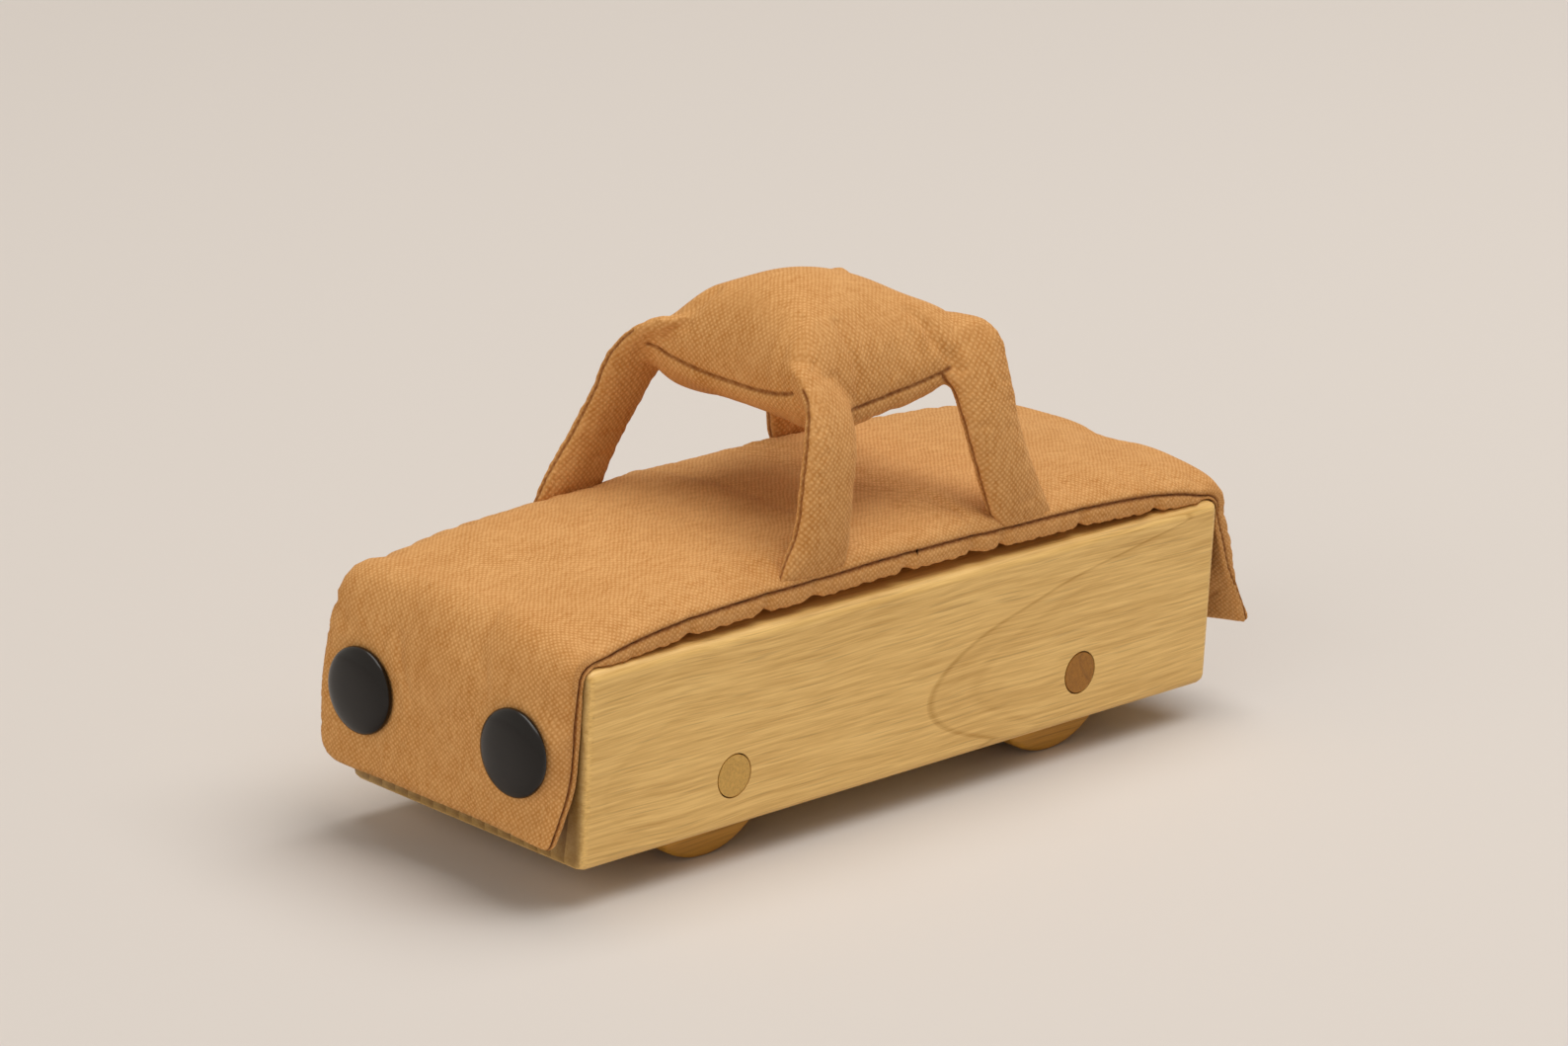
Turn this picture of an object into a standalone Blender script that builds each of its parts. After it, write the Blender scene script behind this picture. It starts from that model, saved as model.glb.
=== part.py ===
"""A wooden toy car with a padded cloth cover, modelled at its real size.

The car is a block of hardwood on four wheels. Each wheel turns on a fixed dowel, inside its own slot
that is cut from below. A sewn cover lies over the block: a deck pad with a flap down each end, held
by two snaps a side that look like lamps, and a stuffed roof on four straps that rise from the deck's
side seams. Front is -Y, the car's left is +X, and the wheels stand on z = 0. Lengths are in metres.
"""

import math
from typing import NamedTuple

import bmesh
import bpy
from mathutils import Matrix, Vector

# Wooden block
BLOCK_LENGTH = 0.168
BLOCK_WIDTH = 0.0615
BLOCK_HEIGHT = 0.0374
EDGE_ROUND = 0.002
EDGE_STEPS = 3

# Wheels, which turn on fixed dowels
WHEEL_DIAMETER = 0.035
WHEEL_WIDTH = 0.012
WHEEL_ROUND = 0.001
WHEEL_STEPS = 36
AXLE_DIAMETER = 0.008
AXLE_SPACING = 0.0926
AXLE_STEPS = 28
AXLE_ABOVE_UNDERSIDE = 0.0102
AXLE_PLAY = 0.0003
SIDE_WALL = 0.0055
WHEEL_SIDE_PLAY = 0.0008
SLOT_CLEARANCE = 0.0017
SLOT_STEPS = 28

# Cloth and wadding
CLOTH = 0.0005
LAYER_GAP = 0.00025
WOOD_GAP = 0.0003
COVER_SET_IN = 0.00025
SECTION_POWER = 3.0

# Deck pad: how far its wadding swells above and below the side seam, and how far it bows off the wood
DECK_PAD_OVER = 0.0040
DECK_PAD_UNDER = 0.0024
FOLD_PAD_OVER = 0.0032
FOLD_PAD_UNDER = 0.00015
DECK_BOW = 0.0023
TUCK_DEPTH = 0.0005
TUCKS = 8

# End flaps
FLAP_PAD_OVER = 0.0009
FLAP_PAD_UNDER = 0.0003
FLAP_RELEASE = 0.008
FLAP_CURL = 0.0026
CURL_POWER = 14
FLAP_END_ROUND = 0.0025
FLAP_END_ROWS_SHARE = 0.3
FRONT_FLAP_LENGTH = 0.0304
REAR_FLAP_LENGTH = 0.0258

# Roof cushion, measured from the block's sides and top and the car's middle
ROOF_SIDE_SET_IN = 0.00925
ROOF_FRONT = 0.0242
ROOF_REAR = 0.0253
ROOF_FRONT_RISE = 0.0390
ROOF_REAR_RISE = 0.0447
ROOF_SIDE_SAG = 0.0084
ROOF_END_SAG = 0.0042
ROOF_MIDDLE_SAG_SHARE = 0.3
ROOF_PAD_OVER = 0.0124
ROOF_PAD_UNDER = 0.0048
ROOF_FULLER_FRONT_SHARE = 0.5
ROOF_DRAWN_IN = 0.0030
ROOF_POWER = 2.8

# Pillar straps
STRAP_WIDTH_FOOT = 0.0158
STRAP_WIDTH_TOP = 0.0128
STRAP_THICK_FOOT = 0.0040
STRAP_THICK_MIDDLE = 0.0046
STRAP_THICK_TOP = 0.0030
STRAP_BOW = 0.0038
STRAP_TILT_DEG = 31
STRAP_EDGE_SET_IN = 0.0002
FRONT_FOOT_Y = 0.0286
REAR_FOOT_Y = 0.0312
STRAP_TOP_ACROSS_SHARE = 0.97
STRAP_TOP_ALONG_SHARE = 0.80
STRAP_POWER = 2.6

# Snap fasteners, measured outwards from the wood
SNAP_SPACING = 0.0406
SNAP_BELOW_TOP = 0.0158
CAP_DIAMETER = 0.0164
CAP_DOME = 0.0022
CAP_POWER = 2.3
CAP_EDGE = 0.0006
BARREL_DIAMETER = 0.0044
STUD_FLANGE_DIAMETER = 0.0086
STUD_FLANGE = 0.0006
STUD_HEAD_DIAMETER = 0.0052
STUD_NECK_DIAMETER = 0.0040
STUD_HEIGHT = 0.0020
STUD_ROUND = 0.0005
STUD_NECK = 0.0006
SCREW_DIAMETER = 0.0030
SCREW_LENGTH = 0.009
SCREW_POINT = 0.002
SNAP_PLAY = 0.0007
SOCKET_WALL = 0.0012
SOCKET_WEB = 0.0004
CAP_STEPS = 24
DOME_STEPS = 6
SNAP_STEPS = 16

# Places that follow from the sizes above
WHEEL_RADIUS = WHEEL_DIAMETER / 2
AXLE_Z = WHEEL_RADIUS
UNDERSIDE_Z = AXLE_Z - AXLE_ABOVE_UNDERSIDE
TOP_Z = UNDERSIDE_Z + BLOCK_HEIGHT
HALF_LENGTH = BLOCK_LENGTH / 2
HALF_COVER = BLOCK_WIDTH / 2 - COVER_SET_IN
FLAT_END = HALF_LENGTH - EDGE_ROUND
ROOF_WIDTH = BLOCK_WIDTH - 2 * ROOF_SIDE_SET_IN
SKIN = CLOTH + LAYER_GAP
STUD_TOP = WOOD_GAP + STUD_FLANGE + STUD_HEIGHT
SOCKET_BASE = WOOD_GAP + STUD_FLANGE + WOOD_GAP
SOCKET_TOP = STUD_TOP + WOOD_GAP + SOCKET_WEB
FLAP_SEAM = SOCKET_TOP + WOOD_GAP + SKIN + FLAP_PAD_UNDER
CAP_BASE = FLAP_SEAM + SKIN + FLAP_PAD_OVER + WOOD_GAP
SNAP_Z = TOP_Z - SNAP_BELOW_TOP
ENDS = {"front": -1, "rear": 1}
SIDES = {"left": 1, "right": -1}

# Colours, as red, green and blue in linear light, then roughness and metallic
FINISHES = {
    "block_wood": ((0.56, 0.35, 0.13), 0.5, 0.0),
    "wheel_wood": ((0.45, 0.26, 0.08), 0.5, 0.0),
    "dowel_wood": ((0.30, 0.17, 0.06), 0.5, 0.0),
    "cover_cloth": ((0.60, 0.31, 0.11), 0.9, 0.0),
    "lining_cloth": ((0.50, 0.25, 0.08), 0.9, 0.0),
    "wadding": ((0.85, 0.83, 0.78), 1.0, 0.0),
    "snap_cap": ((0.012, 0.009, 0.009), 0.2, 0.0),
    "snap_metal": ((0.55, 0.42, 0.22), 0.35, 1.0),
}


class Section(NamedTuple):
    """The cover's cross-section at one station, as distances off the wood."""

    seam: float
    over: float
    under: float
    curl: float


def clear_scene():
    """Removes every object, so that the car is alone."""
    for obj in list(bpy.data.objects):
        bpy.data.objects.remove(obj, do_unlink=True)


def new_collection(name):
    """Returns a new collection in the scene."""
    made = bpy.data.collections.new(name)
    bpy.context.scene.collection.children.link(made)
    return made


def finish(obj, name):
    """Gives the object its own Principled material from the list of finishes."""
    colour, roughness, metallic = FINISHES[name]
    material = bpy.data.materials.new(f"{obj.name}_{name}")
    material.use_nodes = True
    shader = material.node_tree.nodes["Principled BSDF"]
    shader.inputs["Base Color"].default_value = (*colour, 1.0)
    shader.inputs["Roughness"].default_value = roughness
    shader.inputs["Metallic"].default_value = metallic
    material.diffuse_color = (*colour, 1.0)
    obj.data.materials.append(material)


def add_object(name, bm, collection, material=None):
    """Turns a bmesh into a smooth-shaded object in the collection."""
    mesh = bpy.data.meshes.new(name)
    bm.to_mesh(mesh)
    bm.free()
    obj = bpy.data.objects.new(name, mesh)
    collection.objects.link(obj)
    mesh.shade_smooth()
    mesh.set_sharp_from_angle(angle=math.radians(35))
    if material:
        finish(obj, material)
    return obj


def as_cutter(obj):
    """Hides a cutter from renders and draws it as a wire."""
    obj.hide_render = True
    obj.display_type = "WIRE"
    return obj


def cut(obj, cutters):
    """Takes each cutter out of the object with a Boolean."""
    for cutter in cutters:
        modifier = obj.modifiers.new(f"cut {cutter.name}", "BOOLEAN")
        modifier.operation = "DIFFERENCE"
        modifier.solver = "EXACT"
        modifier.object = cutter


def pin(name, radius, length, centre, axis, steps, collection, material=None):
    """Adds a plain cylinder of this length, centred on a point and lying along an axis."""
    bm = bmesh.new()
    bmesh.ops.create_cone(
        bm, cap_ends=True, segments=steps, radius1=radius, radius2=radius, depth=length
    )
    obj = add_object(name, bm, collection, material)
    obj.location = centre
    obj.rotation_euler = Vector(axis).to_track_quat("Z", "Y").to_euler()
    return obj


def turned(name, profile, centre, axis, steps, collection, material):
    """Turns a profile of (radius, height) points about an axis through the centre.

    The profile runs down its outer side. One that starts off the axis is a ring and is closed.
    """
    bm = bmesh.new()
    points = [bm.verts.new((radius, 0, height)) for radius, height in profile]
    for first, second in zip(points, points[1:]):
        bm.edges.new((first, second))
    if profile[0][0] > 0:
        bm.edges.new((points[-1], points[0]))
    obj = add_object(name, bm, collection, material)
    screw = obj.modifiers.new("turn", "SCREW")
    screw.steps = steps
    screw.render_steps = steps
    screw.use_merge_vertices = True
    screw.merge_threshold = 0.00001
    screw.use_smooth_shade = True
    obj.location = centre
    obj.rotation_euler = Vector(axis).to_track_quat("Z", "Y").to_euler()
    return obj


def add_hinge(name, centre, collection):
    """Adds the empty that a flap and its snaps hang on, at the middle of the fold."""
    hinge = bpy.data.objects.new(name, None)
    hinge.empty_display_size = EDGE_ROUND
    hinge.location = centre
    collection.objects.link(hinge)
    return hinge


def hang_on(hinge, obj):
    """Parents an object to a hinge where it stands."""
    obj.parent = hinge
    obj.matrix_parent_inverse = Matrix.Translation(-hinge.location)


def arc_points(centre_radius, centre_height, size, start_deg, end_deg, steps):
    """Returns (radius, height) points on an arc, with angles measured from the outward direction."""
    angles = [math.radians(start_deg + (end_deg - start_deg) * i / steps) for i in range(steps + 1)]
    return [(centre_radius + size * math.cos(a), centre_height + size * math.sin(a)) for a in angles]


def make_block(parts, cutters):
    """Adds the wooden block, with its four wheel slots, two axle holes and four screw holes."""
    bm = bmesh.new()
    bmesh.ops.create_cube(bm, size=1.0)
    bmesh.ops.scale(bm, verts=bm.verts[:], vec=(BLOCK_WIDTH, BLOCK_LENGTH, BLOCK_HEIGHT))
    bmesh.ops.translate(bm, verts=bm.verts[:], vec=(0, 0, (UNDERSIDE_Z + TOP_Z) / 2))
    bmesh.ops.bevel(
        bm,
        geom=bm.edges[:],
        offset=EDGE_ROUND,
        affect="EDGES",
        segments=EDGE_STEPS,
        profile=0.5,
        material=-1,
    )
    block = add_object("body_block", bm, parts, "block_wood")
    slot_width = WHEEL_WIDTH + 2 * WHEEL_SIDE_PLAY
    slot_radius = WHEEL_RADIUS + SLOT_CLEARANCE
    for end, along in ENDS.items():
        axle_y = along * AXLE_SPACING / 2
        hole = pin(
            f"{end}_axle_hole",
            AXLE_DIAMETER / 2 + AXLE_PLAY,
            BLOCK_WIDTH * 1.5,
            (0, axle_y, AXLE_Z),
            (1, 0, 0),
            AXLE_STEPS,
            cutters,
        )
        cut(block, [as_cutter(hole)])
        for side, across in SIDES.items():
            slot = bmesh.new()
            bmesh.ops.create_cone(
                slot,
                cap_ends=True,
                segments=SLOT_STEPS,
                radius1=slot_radius,
                radius2=slot_radius,
                depth=slot_width,
                matrix=Matrix.Rotation(math.pi / 2, 4, "Y") @ Matrix.Rotation(math.pi / SLOT_STEPS, 4, "Z"),
            )
            # The half below the axle is drawn down past the underside, so the slot's walls are straight.
            for vert in slot.verts:
                if vert.co.z < 0:
                    vert.co.z -= slot_radius + AXLE_ABOVE_UNDERSIDE
            cutter = add_object(f"{end}_{side}_slot", slot, cutters)
            cutter.location = (across * wheel_x(), axle_y, AXLE_Z)
            cut(block, [as_cutter(cutter)])
            screw_hole = pin(
                f"{end}_{side}_screw_hole",
                SCREW_DIAMETER / 2 + WOOD_GAP,
                2 * (SCREW_LENGTH + WOOD_GAP),
                (across * SNAP_SPACING / 2, along * HALF_LENGTH, SNAP_Z),
                (0, 1, 0),
                SNAP_STEPS,
                cutters,
            )
            cut(block, [as_cutter(screw_hole)])


def wheel_x():
    """Distance of a wheel's middle from the car's centre plane."""
    return BLOCK_WIDTH / 2 - SIDE_WALL - WHEEL_SIDE_PLAY - WHEEL_WIDTH / 2


def make_running_gear(parts):
    """Adds two dowels, flush with the block's sides, and a bored disc wheel near each end of both."""
    half = WHEEL_WIDTH / 2
    bore = AXLE_DIAMETER / 2 + AXLE_PLAY
    shoulder = WHEEL_RADIUS - WHEEL_ROUND
    top = arc_points(shoulder, half - WHEEL_ROUND, WHEEL_ROUND, 90, 0, 2)
    bottom = arc_points(shoulder, WHEEL_ROUND - half, WHEEL_ROUND, 0, -90, 2)
    profile = [(bore, half), *top, *bottom, (bore, -half)]
    for end, along in ENDS.items():
        centre_y = along * AXLE_SPACING / 2
        pin(
            f"{end}_axle",
            AXLE_DIAMETER / 2,
            BLOCK_WIDTH,
            (0, centre_y, AXLE_Z),
            (1, 0, 0),
            AXLE_STEPS,
            parts,
            "dowel_wood",
        )
        for side, across in SIDES.items():
            turned(
                f"{end}_{side}_wheel",
                profile,
                (across * wheel_x(), centre_y, AXLE_Z),
                (1, 0, 0),
                WHEEL_STEPS,
                parts,
                "wheel_wood",
            )


def rounded(angle, power):
    """Returns how far across and how high a superellipse of this power is, at an angle from its crown."""
    across = math.copysign(abs(math.sin(angle)) ** (2 / power), math.sin(angle))
    return across, max(math.cos(angle), 0.0) ** (2 / power)


def mix(first, second, share):
    """Returns the section that lies this share of the way from the first to the second."""
    return Section(*(a + (b - a) * share for a, b in zip(first, second)))


def eased(share):
    """Turns a straight 0 to 1 into one that starts and ends gently."""
    share = min(max(share, 0.0), 1.0)
    return share * share * (3 - 2 * share)


def deck_section(y):
    """Returns the deck pad's section: it rests on the wood at both ends and bows up between them."""
    share = min(abs(y) / FLAT_END, 1.0)
    full = 1 - share**6
    over = FOLD_PAD_OVER + (DECK_PAD_OVER - FOLD_PAD_OVER) * full
    under = FOLD_PAD_UNDER + (DECK_PAD_UNDER - FOLD_PAD_UNDER) * full
    return Section(WOOD_GAP + SKIN + under + DECK_BOW * (1 - share**2), SKIN + over, SKIN + under, 0.0)


def flap_section(depth):
    """Returns a flap's section at a depth below the fold: the snaps hold it off the wood."""
    held = Section(FLAP_SEAM, SKIN + FLAP_PAD_OVER, SKIN + FLAP_PAD_UNDER, FLAP_CURL)
    return mix(deck_section(FLAT_END), held, eased(depth / FLAP_RELEASE))


def off_the_wood(along, path, level):
    """Returns (y, z) at a distance off the block's outline.

    path is measured from the middle of the block's top, over its rounded edge and down its end.
    """
    past_flat = path - FLAT_END
    quarter = EDGE_ROUND * math.pi / 2
    if past_flat <= 0:
        return along * path, TOP_Z + level
    if past_flat >= quarter:
        return along * (HALF_LENGTH + level), TOP_Z - EDGE_ROUND - (past_flat - quarter)
    turn = past_flat / EDGE_ROUND
    reach = EDGE_ROUND + level
    return along * (FLAT_END + reach * math.sin(turn)), TOP_Z - EDGE_ROUND + reach * math.cos(turn)


def cover_point(along, path, section, angle, face, inset, closing=1.0, draw_in=0.0):
    """Returns a point of the cover.

    face is 1 on the outer cloth's side of the seam and -1 on the lining's side, inset is the depth
    under the outside of that cloth, and closing runs to 0 where a flap's end is sewn shut.
    """
    across, height = rounded(angle, SECTION_POWER)
    swell = (section.over if face > 0 else section.under) - inset
    rim = LAYER_GAP / 2 if inset <= CLOTH else 0.0
    level = section.seam - section.curl * abs(across) ** CURL_POWER
    level += face * (rim + swell * height * closing)
    y, z = off_the_wood(along, path, level)
    return Vector(((HALF_COVER - inset - draw_in) * across, y, z))


def soft_layer(name, columns, rows, place, collection, material):
    """Adds a closed body between two curved sheets.

    A flat grid is extruded into two sheets, and place(a, b, upper) gives the point of each corner of
    the grid, where a and b run from -1 to 1.
    """
    bm = bmesh.new()
    bmesh.ops.create_grid(bm, x_segments=columns, y_segments=rows, size=1.0)
    made = bmesh.ops.extrude_face_region(bm, geom=bm.faces[:], use_keep_orig=True)
    upper = {item for item in made["geom"] if isinstance(item, bmesh.types.BMVert)}
    for vert in bm.verts:
        vert.co = place(vert.co.x, vert.co.y, vert in upper)
    bmesh.ops.remove_doubles(bm, verts=bm.verts[:], dist=0.000002)
    bmesh.ops.recalc_face_normals(bm, faces=bm.faces[:])
    return add_object(name, bm, collection, material)


def layers():
    """Returns each layer's name, finish and two bounding surfaces, as (face, inset)."""
    return (
        ("outer_cloth", "cover_cloth", ((1, CLOTH), (1, 0.0))),
        ("wadding", "wadding", ((-1, SKIN), (1, SKIN))),
        ("lining", "lining_cloth", ((-1, 0.0), (-1, CLOTH))),
    )


def make_deck(parts, cutters):
    """Adds the deck pad's three layers and returns the space that it and a small gap take up."""

    def place_between(surfaces):
        def place(a, b, upper):
            face, inset = surfaces[1 if upper else 0]
            y = b * (FLAT_END - LAYER_GAP)
            wave = 1.0 if inset >= SKIN else 0.5 + 0.5 * math.cos(math.pi * b * TUCKS)
            draw_in = TUCK_DEPTH * wave
            point = cover_point(1, abs(y), deck_section(y), a * math.pi / 2, face, inset, 1.0, draw_in)
            point.y = math.copysign(point.y, y)
            return point

        return place

    for layer, material, surfaces in layers():
        columns = 8 if layer == "outer_cloth" else 6
        rows = 2 * TUCKS if layer == "wadding" else 4 * TUCKS
        soft_layer(f"deck_{layer}", columns, rows, place_between(surfaces), parts, material)
    space = ((-1, -LAYER_GAP), (1, -LAYER_GAP))
    return as_cutter(soft_layer("deck_space", 8, 4 * TUCKS, place_between(space), cutters, None))


def make_fold(end, along, parts):
    """Adds the strip of cover that bends over the block's edge, where a flap opens."""
    quarter = EDGE_ROUND * math.pi / 2
    start = deck_section(FLAT_END)

    def place(a, b, upper):
        path = FLAT_END + quarter * (b + 1) / 2
        return cover_point(along, path, start, a * math.pi / 2, 1 if upper else -1, 0.0)

    soft_layer(f"{end}_fold", 8, 4, place, parts, "cover_cloth")


def make_flap(end, along, length, hinge, parts, holes):
    """Adds an end flap's three layers, with a hole for the barrel of each snap."""
    start = FLAT_END + EDGE_ROUND * math.pi / 2

    def place_between(surfaces):
        def place(a, b, upper):
            face, inset = surfaces[1 if upper else 0]
            share = (b + 1) / 2
            straight = length - FLAP_END_ROUND
            if share <= 1 - FLAP_END_ROWS_SHARE:
                depth = LAYER_GAP + (straight - LAYER_GAP) * share / (1 - FLAP_END_ROWS_SHARE)
                closing = 1.0
            else:
                across, closing = rounded((1 - (1 - share) / FLAP_END_ROWS_SHARE) * math.pi / 2, 2)
                depth = straight + (FLAP_END_ROUND - inset) * across
            return cover_point(
                along, start + depth, flap_section(depth), a * math.pi / 2, face, inset, closing
            )

        return place

    for layer, material, surfaces in layers():
        columns = 10 if layer == "outer_cloth" else 8
        made = soft_layer(f"{end}_flap_{layer}", columns, 10, place_between(surfaces), parts, material)
        cut(made, holes)
        hang_on(hinge, made)


def make_snap(end, side, along, across, hinge, parts, cutters):
    """Adds a snap's cap, socket and screw stud, and returns the cutter for the hole in the cloth."""
    name = f"{end}_{side}"
    centre = (across * SNAP_SPACING / 2, along * HALF_LENGTH, SNAP_Z)
    outward = (0, along, 0)
    cap_radius = CAP_DIAMETER / 2
    barrel = BARREL_DIAMETER / 2
    rim_height = CAP_BASE + CAP_EDGE
    dome = [rounded(math.pi / 2 * i / DOME_STEPS, CAP_POWER) for i in range(DOME_STEPS + 1)]
    cap = [(cap_radius * out, rim_height + CAP_DOME * up) for out, up in dome]
    cap += [
        (cap_radius - CAP_EDGE / 3, CAP_BASE),
        (cap_radius - CAP_EDGE, CAP_BASE),
        (cap_radius - 2 * CAP_EDGE, rim_height),
        (barrel, rim_height),
        (barrel, STUD_TOP + WOOD_GAP),
        (0, STUD_TOP + WOOD_GAP),
    ]
    hang_on(hinge, turned(f"{name}_snap_cap", cap, centre, outward, CAP_STEPS, parts, "snap_cap"))

    cavity = STUD_HEAD_DIAMETER / 2 + SNAP_PLAY
    rim = cavity + SOCKET_WALL
    web_base = SOCKET_TOP - SOCKET_WEB
    socket = [
        (barrel + WOOD_GAP, SOCKET_TOP),
        (rim - SOCKET_WALL / 3, SOCKET_TOP),
        (rim, SOCKET_TOP - SOCKET_WALL / 3),
        (rim, SOCKET_BASE),
        (cavity, SOCKET_BASE),
        (cavity, web_base),
        (barrel + WOOD_GAP, web_base),
    ]
    hang_on(hinge, turned(f"{name}_snap_socket", socket, centre, outward, SNAP_STEPS, parts, "snap_metal"))

    flange = STUD_FLANGE_DIAMETER / 2
    flange_top = WOOD_GAP + STUD_FLANGE
    head = STUD_HEAD_DIAMETER / 2
    neck = STUD_NECK_DIAMETER / 2
    screw = SCREW_DIAMETER / 2
    stud = [
        (0, STUD_TOP),
        (head - 2 * STUD_ROUND, STUD_TOP),
        (head, STUD_TOP - STUD_ROUND),
        (head, STUD_TOP - 2 * STUD_ROUND),
        (neck, flange_top + STUD_NECK),
        (neck, flange_top),
        (flange, flange_top),
        (flange, WOOD_GAP),
        (screw, WOOD_GAP),
        (screw, SCREW_POINT - SCREW_LENGTH),
        (0, -SCREW_LENGTH),
    ]
    turned(f"{name}_screw_stud", stud, centre, outward, SNAP_STEPS, parts, "snap_metal")
    hole = pin(
        f"{name}_barrel_hole",
        barrel + LAYER_GAP,
        4 * FLAP_SEAM,
        Vector(centre),
        outward,
        SNAP_STEPS,
        cutters,
    )
    hang_on(hinge, hole)
    return as_cutter(hole)


def roof_seam(across, along):
    """Returns the point of the roof's seam surface at shares from -1 to 1 across and along it.

    The four corners are held up by the straps, and the edges sag and draw in between them.
    """
    middle = (ROOF_REAR - ROOF_FRONT) / 2
    half = (ROOF_REAR + ROOF_FRONT) / 2
    x = across * (ROOF_WIDTH / 2 - ROOF_DRAWN_IN / 2 * (1 - along**2))
    y = middle + along * (half - ROOF_DRAWN_IN * (1 - across**2))
    corner = ROOF_FRONT_RISE + (ROOF_REAR_RISE - ROOF_FRONT_RISE) * (along + 1) / 2
    side = ROOF_SIDE_SAG * (1 - along**4) * (across**2 + ROOF_MIDDLE_SAG_SHARE * (1 - across**2))
    end = ROOF_END_SAG * (1 - abs(across) ** 2.5) * along**4
    return Vector((x, y, TOP_Z + corner - side - end))


def make_roof(parts, cutters):
    """Adds the roof cushion's three layers and returns the space that it and a small gap take up."""

    def place_between(surfaces):
        def place(a, b, upper):
            face, inset = surfaces[1 if upper else 0]
            across, wide = rounded(a * math.pi / 2, ROOF_POWER)
            along, long = rounded(b * math.pi / 2, ROOF_POWER)
            point = roof_seam(across * (1 - 2 * inset / ROOF_WIDTH), along * (1 - 2 * inset / ROOF_WIDTH))
            pad = ROOF_PAD_OVER * (1 - ROOF_FULLER_FRONT_SHARE * along) if face > 0 else ROOF_PAD_UNDER
            swell = SKIN + pad - inset
            rim = LAYER_GAP / 2 if inset <= CLOTH else 0.0
            point.z += face * (rim + swell * wide * long)
            return point

        return place

    for layer, material, surfaces in layers():
        name = "roof_stuffing" if layer == "wadding" else f"roof_{layer}"
        soft_layer(name, 10, 10, place_between(surfaces), parts, material)
    space = ((-1, -LAYER_GAP), (1, -LAYER_GAP))
    return as_cutter(soft_layer("roof_space", 10, 10, place_between(space), cutters, None))


def strap_frame(along, across, share):
    """Returns a strap's centre, width direction, thickness direction and half sizes.

    share runs from 0 at the foot, on the deck's side seam, to 1 at the roof's corner.
    """
    foot_y = FRONT_FOOT_Y if along < 0 else REAR_FOOT_Y
    seam_z = TOP_Z + deck_section(foot_y).seam
    foot_x = HALF_COVER - STRAP_THICK_FOOT / 2 - STRAP_EDGE_SET_IN - TUCK_DEPTH
    foot = Vector((across * foot_x, along * foot_y, seam_z))
    top = roof_seam(across * STRAP_TOP_ACROSS_SHARE, along * STRAP_TOP_ALONG_SHARE)
    centre = foot.lerp(top, share)
    centre.x += across * STRAP_BOW * math.sin(math.pi * share)
    rise = (top - foot).normalized()
    tilt = math.radians(STRAP_TILT_DEG) * eased(share) * along
    width_way = Vector((0, math.cos(tilt), math.sin(tilt)))
    thick_way = rise.cross(width_way).normalized()
    width = STRAP_WIDTH_FOOT + (STRAP_WIDTH_TOP - STRAP_WIDTH_FOOT) * share
    if share < 0.5:
        thick = STRAP_THICK_FOOT + (STRAP_THICK_MIDDLE - STRAP_THICK_FOOT) * eased(2 * share)
    else:
        thick = STRAP_THICK_MIDDLE + (STRAP_THICK_TOP - STRAP_THICK_MIDDLE) * eased(2 * share - 1)
    return centre, width_way, thick_way, width / 2, thick / 2


def strap_tube(name, along, across, inset, columns, rows, open_foot, collection, material):
    """Adds a strap's outline at this depth: a grid rolled into a tube, with its ends filled."""
    bm = bmesh.new()
    bmesh.ops.create_grid(bm, x_segments=columns, y_segments=rows, size=1.0)
    foot, *_ = strap_frame(along, across, 0.0)
    top, *_ = strap_frame(along, across, 1.0)
    reach = 1 - inset / (top - foot).length
    for vert in bm.verts:
        share = reach * (vert.co.y + 1) / 2
        angle = vert.co.x * math.pi
        centre, width_way, thick_way, width, thick = strap_frame(along, across, share)
        wide, _ = rounded(angle, STRAP_POWER)
        deep, _ = rounded(angle + math.pi / 2, STRAP_POWER)
        vert.co = centre + width_way * (width - inset) * wide + thick_way * (thick - inset) * deep
    bmesh.ops.remove_doubles(bm, verts=bm.verts[:], dist=0.000002)
    ends = [edge for edge in bm.edges if edge.is_boundary]
    if open_foot:
        ends = [edge for edge in ends if edge.verts[0].co.z > (foot.z + top.z) / 2]
    bmesh.ops.holes_fill(bm, edges=ends)
    bmesh.ops.recalc_face_normals(bm, faces=bm.faces[:])
    return add_object(name, bm, collection, material)


def make_pillar(end, side, along, across, spaces, parts):
    """Adds a stuffed strap between the deck's side seam and a corner of the roof."""
    name = f"{end}_{side}_pillar"
    cloth = strap_tube(f"{name}_cloth", along, across, 0.0, 12, 7, True, parts, "cover_cloth")
    wall = cloth.modifiers.new("cloth thickness", "SOLIDIFY")
    wall.thickness = CLOTH
    wall.offset = -1
    wall.use_even_offset = True
    cut(cloth, spaces)
    stuffing = strap_tube(f"{name}_stuffing", along, across, SKIN, 8, 5, False, parts, "wadding")
    cut(stuffing, spaces)


def main():
    """Builds the whole car."""
    clear_scene()
    parts = new_collection("wooden_toy_car")
    cutters = new_collection("cutters")
    make_block(parts, cutters)
    make_running_gear(parts)
    spaces = [make_deck(parts, cutters), make_roof(parts, cutters)]
    for end, along in ENDS.items():
        length = FRONT_FLAP_LENGTH if along < 0 else REAR_FLAP_LENGTH
        hinge = add_hinge(f"{end}_flap_hinge", (0, along * FLAT_END, TOP_Z - EDGE_ROUND), parts)
        holes = []
        for side, across in SIDES.items():
            holes.append(make_snap(end, side, along, across, hinge, parts, cutters))
            make_pillar(end, side, along, across, spaces, parts)
        make_fold(end, along, parts)
        make_flap(end, along, length, hinge, parts, holes)


main()
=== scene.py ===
"""A wooden toy car with a padded cloth cover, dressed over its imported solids.

The dowels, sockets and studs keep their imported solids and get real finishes, and the block is a
merged copy of its own. The cover, the cabin, the snap caps and the wheels are made here, finer, in
the same places. Front is -Y, the car's left is +X, and the wheels stand on z = 0. Sizes in the
classes are in millimetres, and each finished mesh is in metres.
"""

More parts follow.
